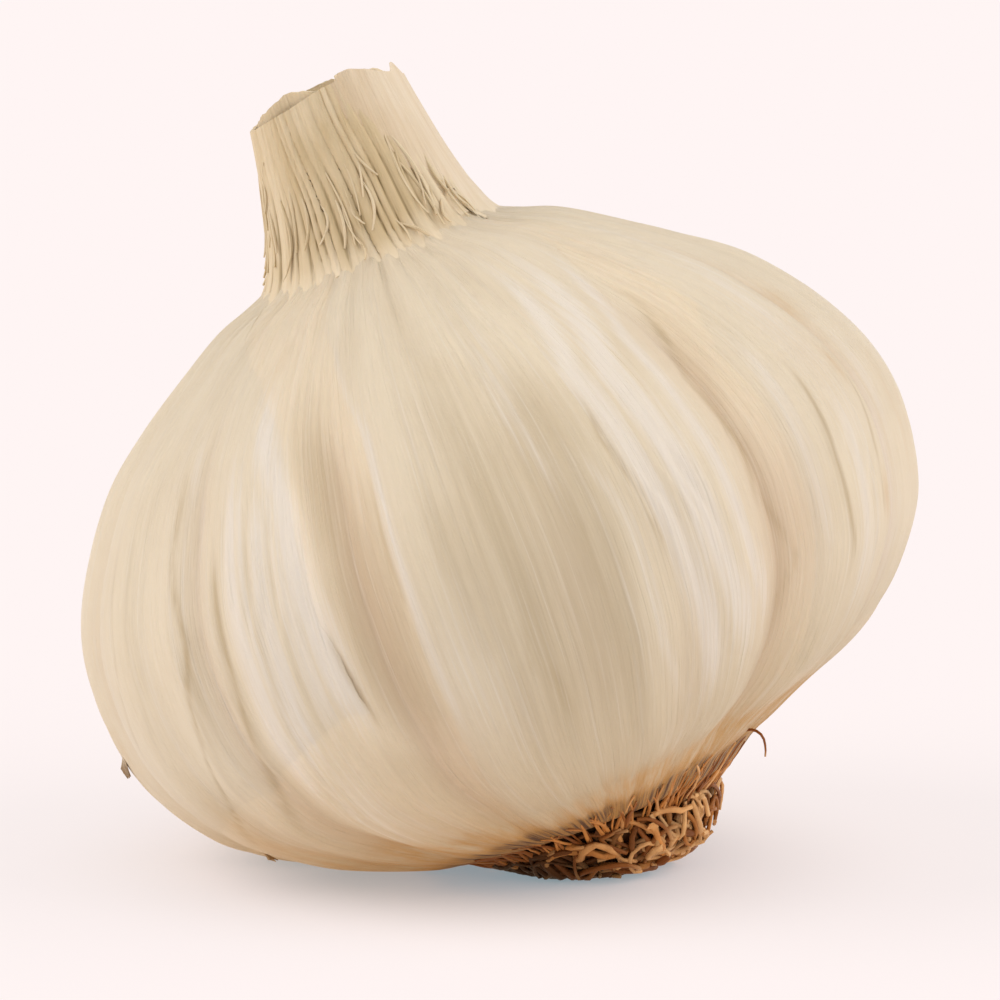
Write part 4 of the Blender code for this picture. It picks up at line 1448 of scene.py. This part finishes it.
# %% Fringe and the free curled root
FRINGE_COUNT = 210
FRINGE_LINE = ((6.8, 8.0, 8.9, 9.6, 10.2), (-1.0, -0.5, 0.1, 0.55, 0.85))  # radii and heights in mm
FRINGE_OFF_TABLE = 0.3 * MM
FRINGE_REACH = 11.7
FREE_ROOT = [
    (13.0, -3.6, 3.0),
    (13.7, -3.9, 3.15),
    (14.4, -4.1, 2.9),
    (14.8, -4.3, 2.3),
    (14.7, -4.4, 1.5),
    (14.5, -4.5, 1.0),
]
fringe_draw = random.Random(52)
fringe = []
for number in range(FRINGE_COUNT):
    start = (number + fringe_draw.uniform(-0.45, 0.45)) * 360 / FRINGE_COUNT
    steps = np.linspace(0, 1, 12)
    drift = fringe_draw.uniform(-8, 8)
    bow = fringe_draw.uniform(-3, 3)
    outer = FRINGE_REACH + fringe_draw.uniform(-0.9, 0.9) + 0.8 * rim_swell(start - FACING)
    inner = fringe_draw.uniform(6.8, 8.4)
    radius = (outer + (inner - outer) * steps) * MM
    height = np.interp(radius / MM, FRINGE_LINE[0], FRINGE_LINE[1]) + 0.12 * np.sin(steps * 7 + number)
    places = start + drift * steps + bow * np.sin(math.pi * steps)
    skin_height = np.interp(radius, skin_line[:300, 0], skin_line[:300, 1])
    on_the_skin = (skin_height + relief(places - FACING, skin_height)) / MM + 0.06
    height = np.where(radius > 10.2 * MM, on_the_skin, height) * MM
    angle = np.radians(places)
    upright = round_axis(radius, angle, height)
    thick = fringe_draw.uniform(0.14, 0.38) * MM * (0.4 + 1.3 * steps - 0.8 * steps**2)
    right_side = float(fade(math.sin(math.radians(start)), -0.5, 0.5))
    shade = fringe_draw.uniform(0.25, 0.95) * (0.6 + 0.4 * right_side)
    laid = leant(settled(upright))
    laid[:, 2] = np.maximum(laid[:, 2], FRINGE_OFF_TABLE)
    fringe.append((laid, thick, shade))
free_root = smooth_line(FREE_ROOT, 12)
fringe.append((leant(free_root), np.linspace(0.26, 0.14, 12) * MM, 0.4))
rim_fringe = joined_strands("rim_fringe", FINE_STRAND, fringe)
paint(rim_fringe, "deep", 0)
settle(rim_fringe, dried_root, "dried_root")

# %% [markdown]
# ## Floor, light and camera
#
# The bulb stands on a pale light table under soft studio light. The table glows from below, which
# keeps the shadow pale. It glows less under the bulb than further out, so the shadow isn't washed out,
# and this dimmer glow is a painted shadow round the bulb. What it sends up to the bulb is set apart
# from what the camera sees, and is dimmer under the bulb too. An even sky fills in, and two very wide
# suns from the sides model the form. They light the whole table alike, so its colour can be worked out
# to meet the backdrop without a seam.

# %% Floor and backdrop
BACKDROP = (1.0, 0.913, 0.905)
# The weaker glow and bounce near the bulb paint a shadow on the table.
GLOW_NEAR = (0.22, 0.285, 0.315)  # how much the table glows under the bulb, and far from it
GLOW_FAR = (0.72, 0.67, 0.67)
GLOW_CENTRE = (-2 * MM, -3 * MM, 0)
GLOW_REACH = (9 * MM, 34 * MM)
BOUNCE_NEAR = (0.32, 0.26, 0.18)  # what it sends up to the bulb, in the same two places
BOUNCE_FAR = (0.74, 0.67, 0.63)
SKY = 0.62
alone()
bpy.ops.mesh.primitive_plane_add(size=8, location=(0, 0, 0))
floor = new_piece("floor")
floor_finish, floor_tree, floor_shader = start_finish("pale floor", 0.9, 0.0)
floor.data.materials.append(floor_finish)


def add_sun(name, azimuth, elevation, brightness, tint, spread):
    """A sun that shines from an azimuth and elevation, in the camera's way of counting."""
    light = bpy.data.lights.new(name, "SUN")
    light.energy = brightness * math.pi
    light.color = tint
    light.angle = math.radians(spread)
    lamp = bpy.data.objects.new(name, light)
    bpy.context.scene.collection.objects.link(lamp)
    a, e = math.radians(azimuth), math.radians(elevation)
    towards = Vector((math.sin(a) * math.cos(e), -math.cos(a) * math.cos(e), math.sin(e)))
    lamp.rotation_euler = towards.to_track_quat("Z", "Y").to_euler()
    return brightness * math.sin(e)


WARM = (1.0, 0.88, 0.82)
SUNS = [("key", -66, 38, 0.44, WARM, 50), ("fill", 98, 38, 0.44, WARM, 60)]
on_floor = sum(add_sun(*sun) for sun in SUNS)
near_colour, far_colour = [
    [(value - glow) / (SKY + on_floor * tint) for value, glow, tint in zip(BACKDROP, glows, WARM)]
    for glows in (GLOW_NEAR, GLOW_FAR)
]
spot = floor_tree.nodes.new("ShaderNodeVectorMath")
spot.operation = "DISTANCE"
spot_place = floor_tree.nodes.new("ShaderNodeTexCoord")
floor_tree.links.new(spot_place.outputs["Object"], spot.inputs[0])
spot.inputs[1].default_value = GLOW_CENTRE
# Painted shadow: glow and bounce are lower within this reach of the spot.
away = stepped(floor_tree, spot.outputs["Value"], *GLOW_REACH)
floor_colour = blended(floor_tree, away, (*near_colour, 1), (*far_colour, 1))
floor_tree.links.new(floor_colour, floor_shader.inputs["Base Color"])
seen_glow = blended(floor_tree, away, (*GLOW_NEAR, 1), (*GLOW_FAR, 1))
floor_ray = floor_tree.nodes.new("ShaderNodeLightPath")
bounce = blended(floor_tree, away, (*BOUNCE_NEAR, 1), (*BOUNCE_FAR, 1))
floor_glow = blended(floor_tree, floor_ray.outputs["Is Camera Ray"], bounce, seen_glow)
floor_tree.links.new(floor_glow, floor_shader.inputs["Emission Color"])
floor_shader.inputs["Emission Strength"].default_value = 1.0

world = bpy.data.worlds.new("soft sky")
bpy.context.scene.world = world
world.use_nodes = True
sky_tree = world.node_tree
seen = sky_tree.nodes["Background"]
seen.inputs["Color"].default_value = (*BACKDROP, 1)
lit = sky_tree.nodes.new("ShaderNodeBackground")
lit.inputs["Color"].default_value = (1, 1, 1, 1)
lit.inputs["Strength"].default_value = SKY
path_kind = sky_tree.nodes.new("ShaderNodeLightPath")
mixer = sky_tree.nodes.new("ShaderNodeMixShader")
sky_tree.links.new(path_kind.outputs["Is Camera Ray"], mixer.inputs["Fac"])
sky_tree.links.new(lit.outputs["Background"], mixer.inputs[1])
sky_tree.links.new(seen.outputs["Background"], mixer.inputs[2])
sky_tree.links.new(mixer.outputs["Shader"], sky_tree.nodes["World Output"].inputs["Surface"])
bpy.context.scene.view_settings.view_transform = "Standard"
print("floor colour under the bulb:", [round(value, 3) for value in near_colour])

# %% Camera
AZIMUTH, ELEVATION = math.radians(15.7), math.radians(11.0)
FRAME_WIDTH = 70.2 * MM
AIM_LEFT, AIM_UP = 7.02 * MM, 22.46 * MM  # from the root end to the middle of the picture
LENS, SENSOR = 500.0, 36.0
right = Vector((math.cos(AZIMUTH), math.sin(AZIMUTH), 0))
ahead = Vector((-math.sin(AZIMUTH), math.cos(AZIMUTH), 0))
look = ahead * math.cos(ELEVATION) - Vector((0, 0, math.sin(ELEVATION)))
up = right.cross(look)
aim = ROOT_END - AIM_LEFT * right + AIM_UP * up
camera = bpy.data.objects.new("camera", bpy.data.cameras.new("camera"))
bpy.context.scene.collection.objects.link(camera)
camera.data.lens = LENS
camera.data.sensor_width = SENSOR
camera.data.clip_start = 0.05
camera.location = aim - look * FRAME_WIDTH * LENS / SENSOR
camera.rotation_euler = Matrix((right, up, -look)).transposed().to_euler()
bpy.context.scene.camera = camera
print("camera at", [round(value, 3) for value in camera.location])
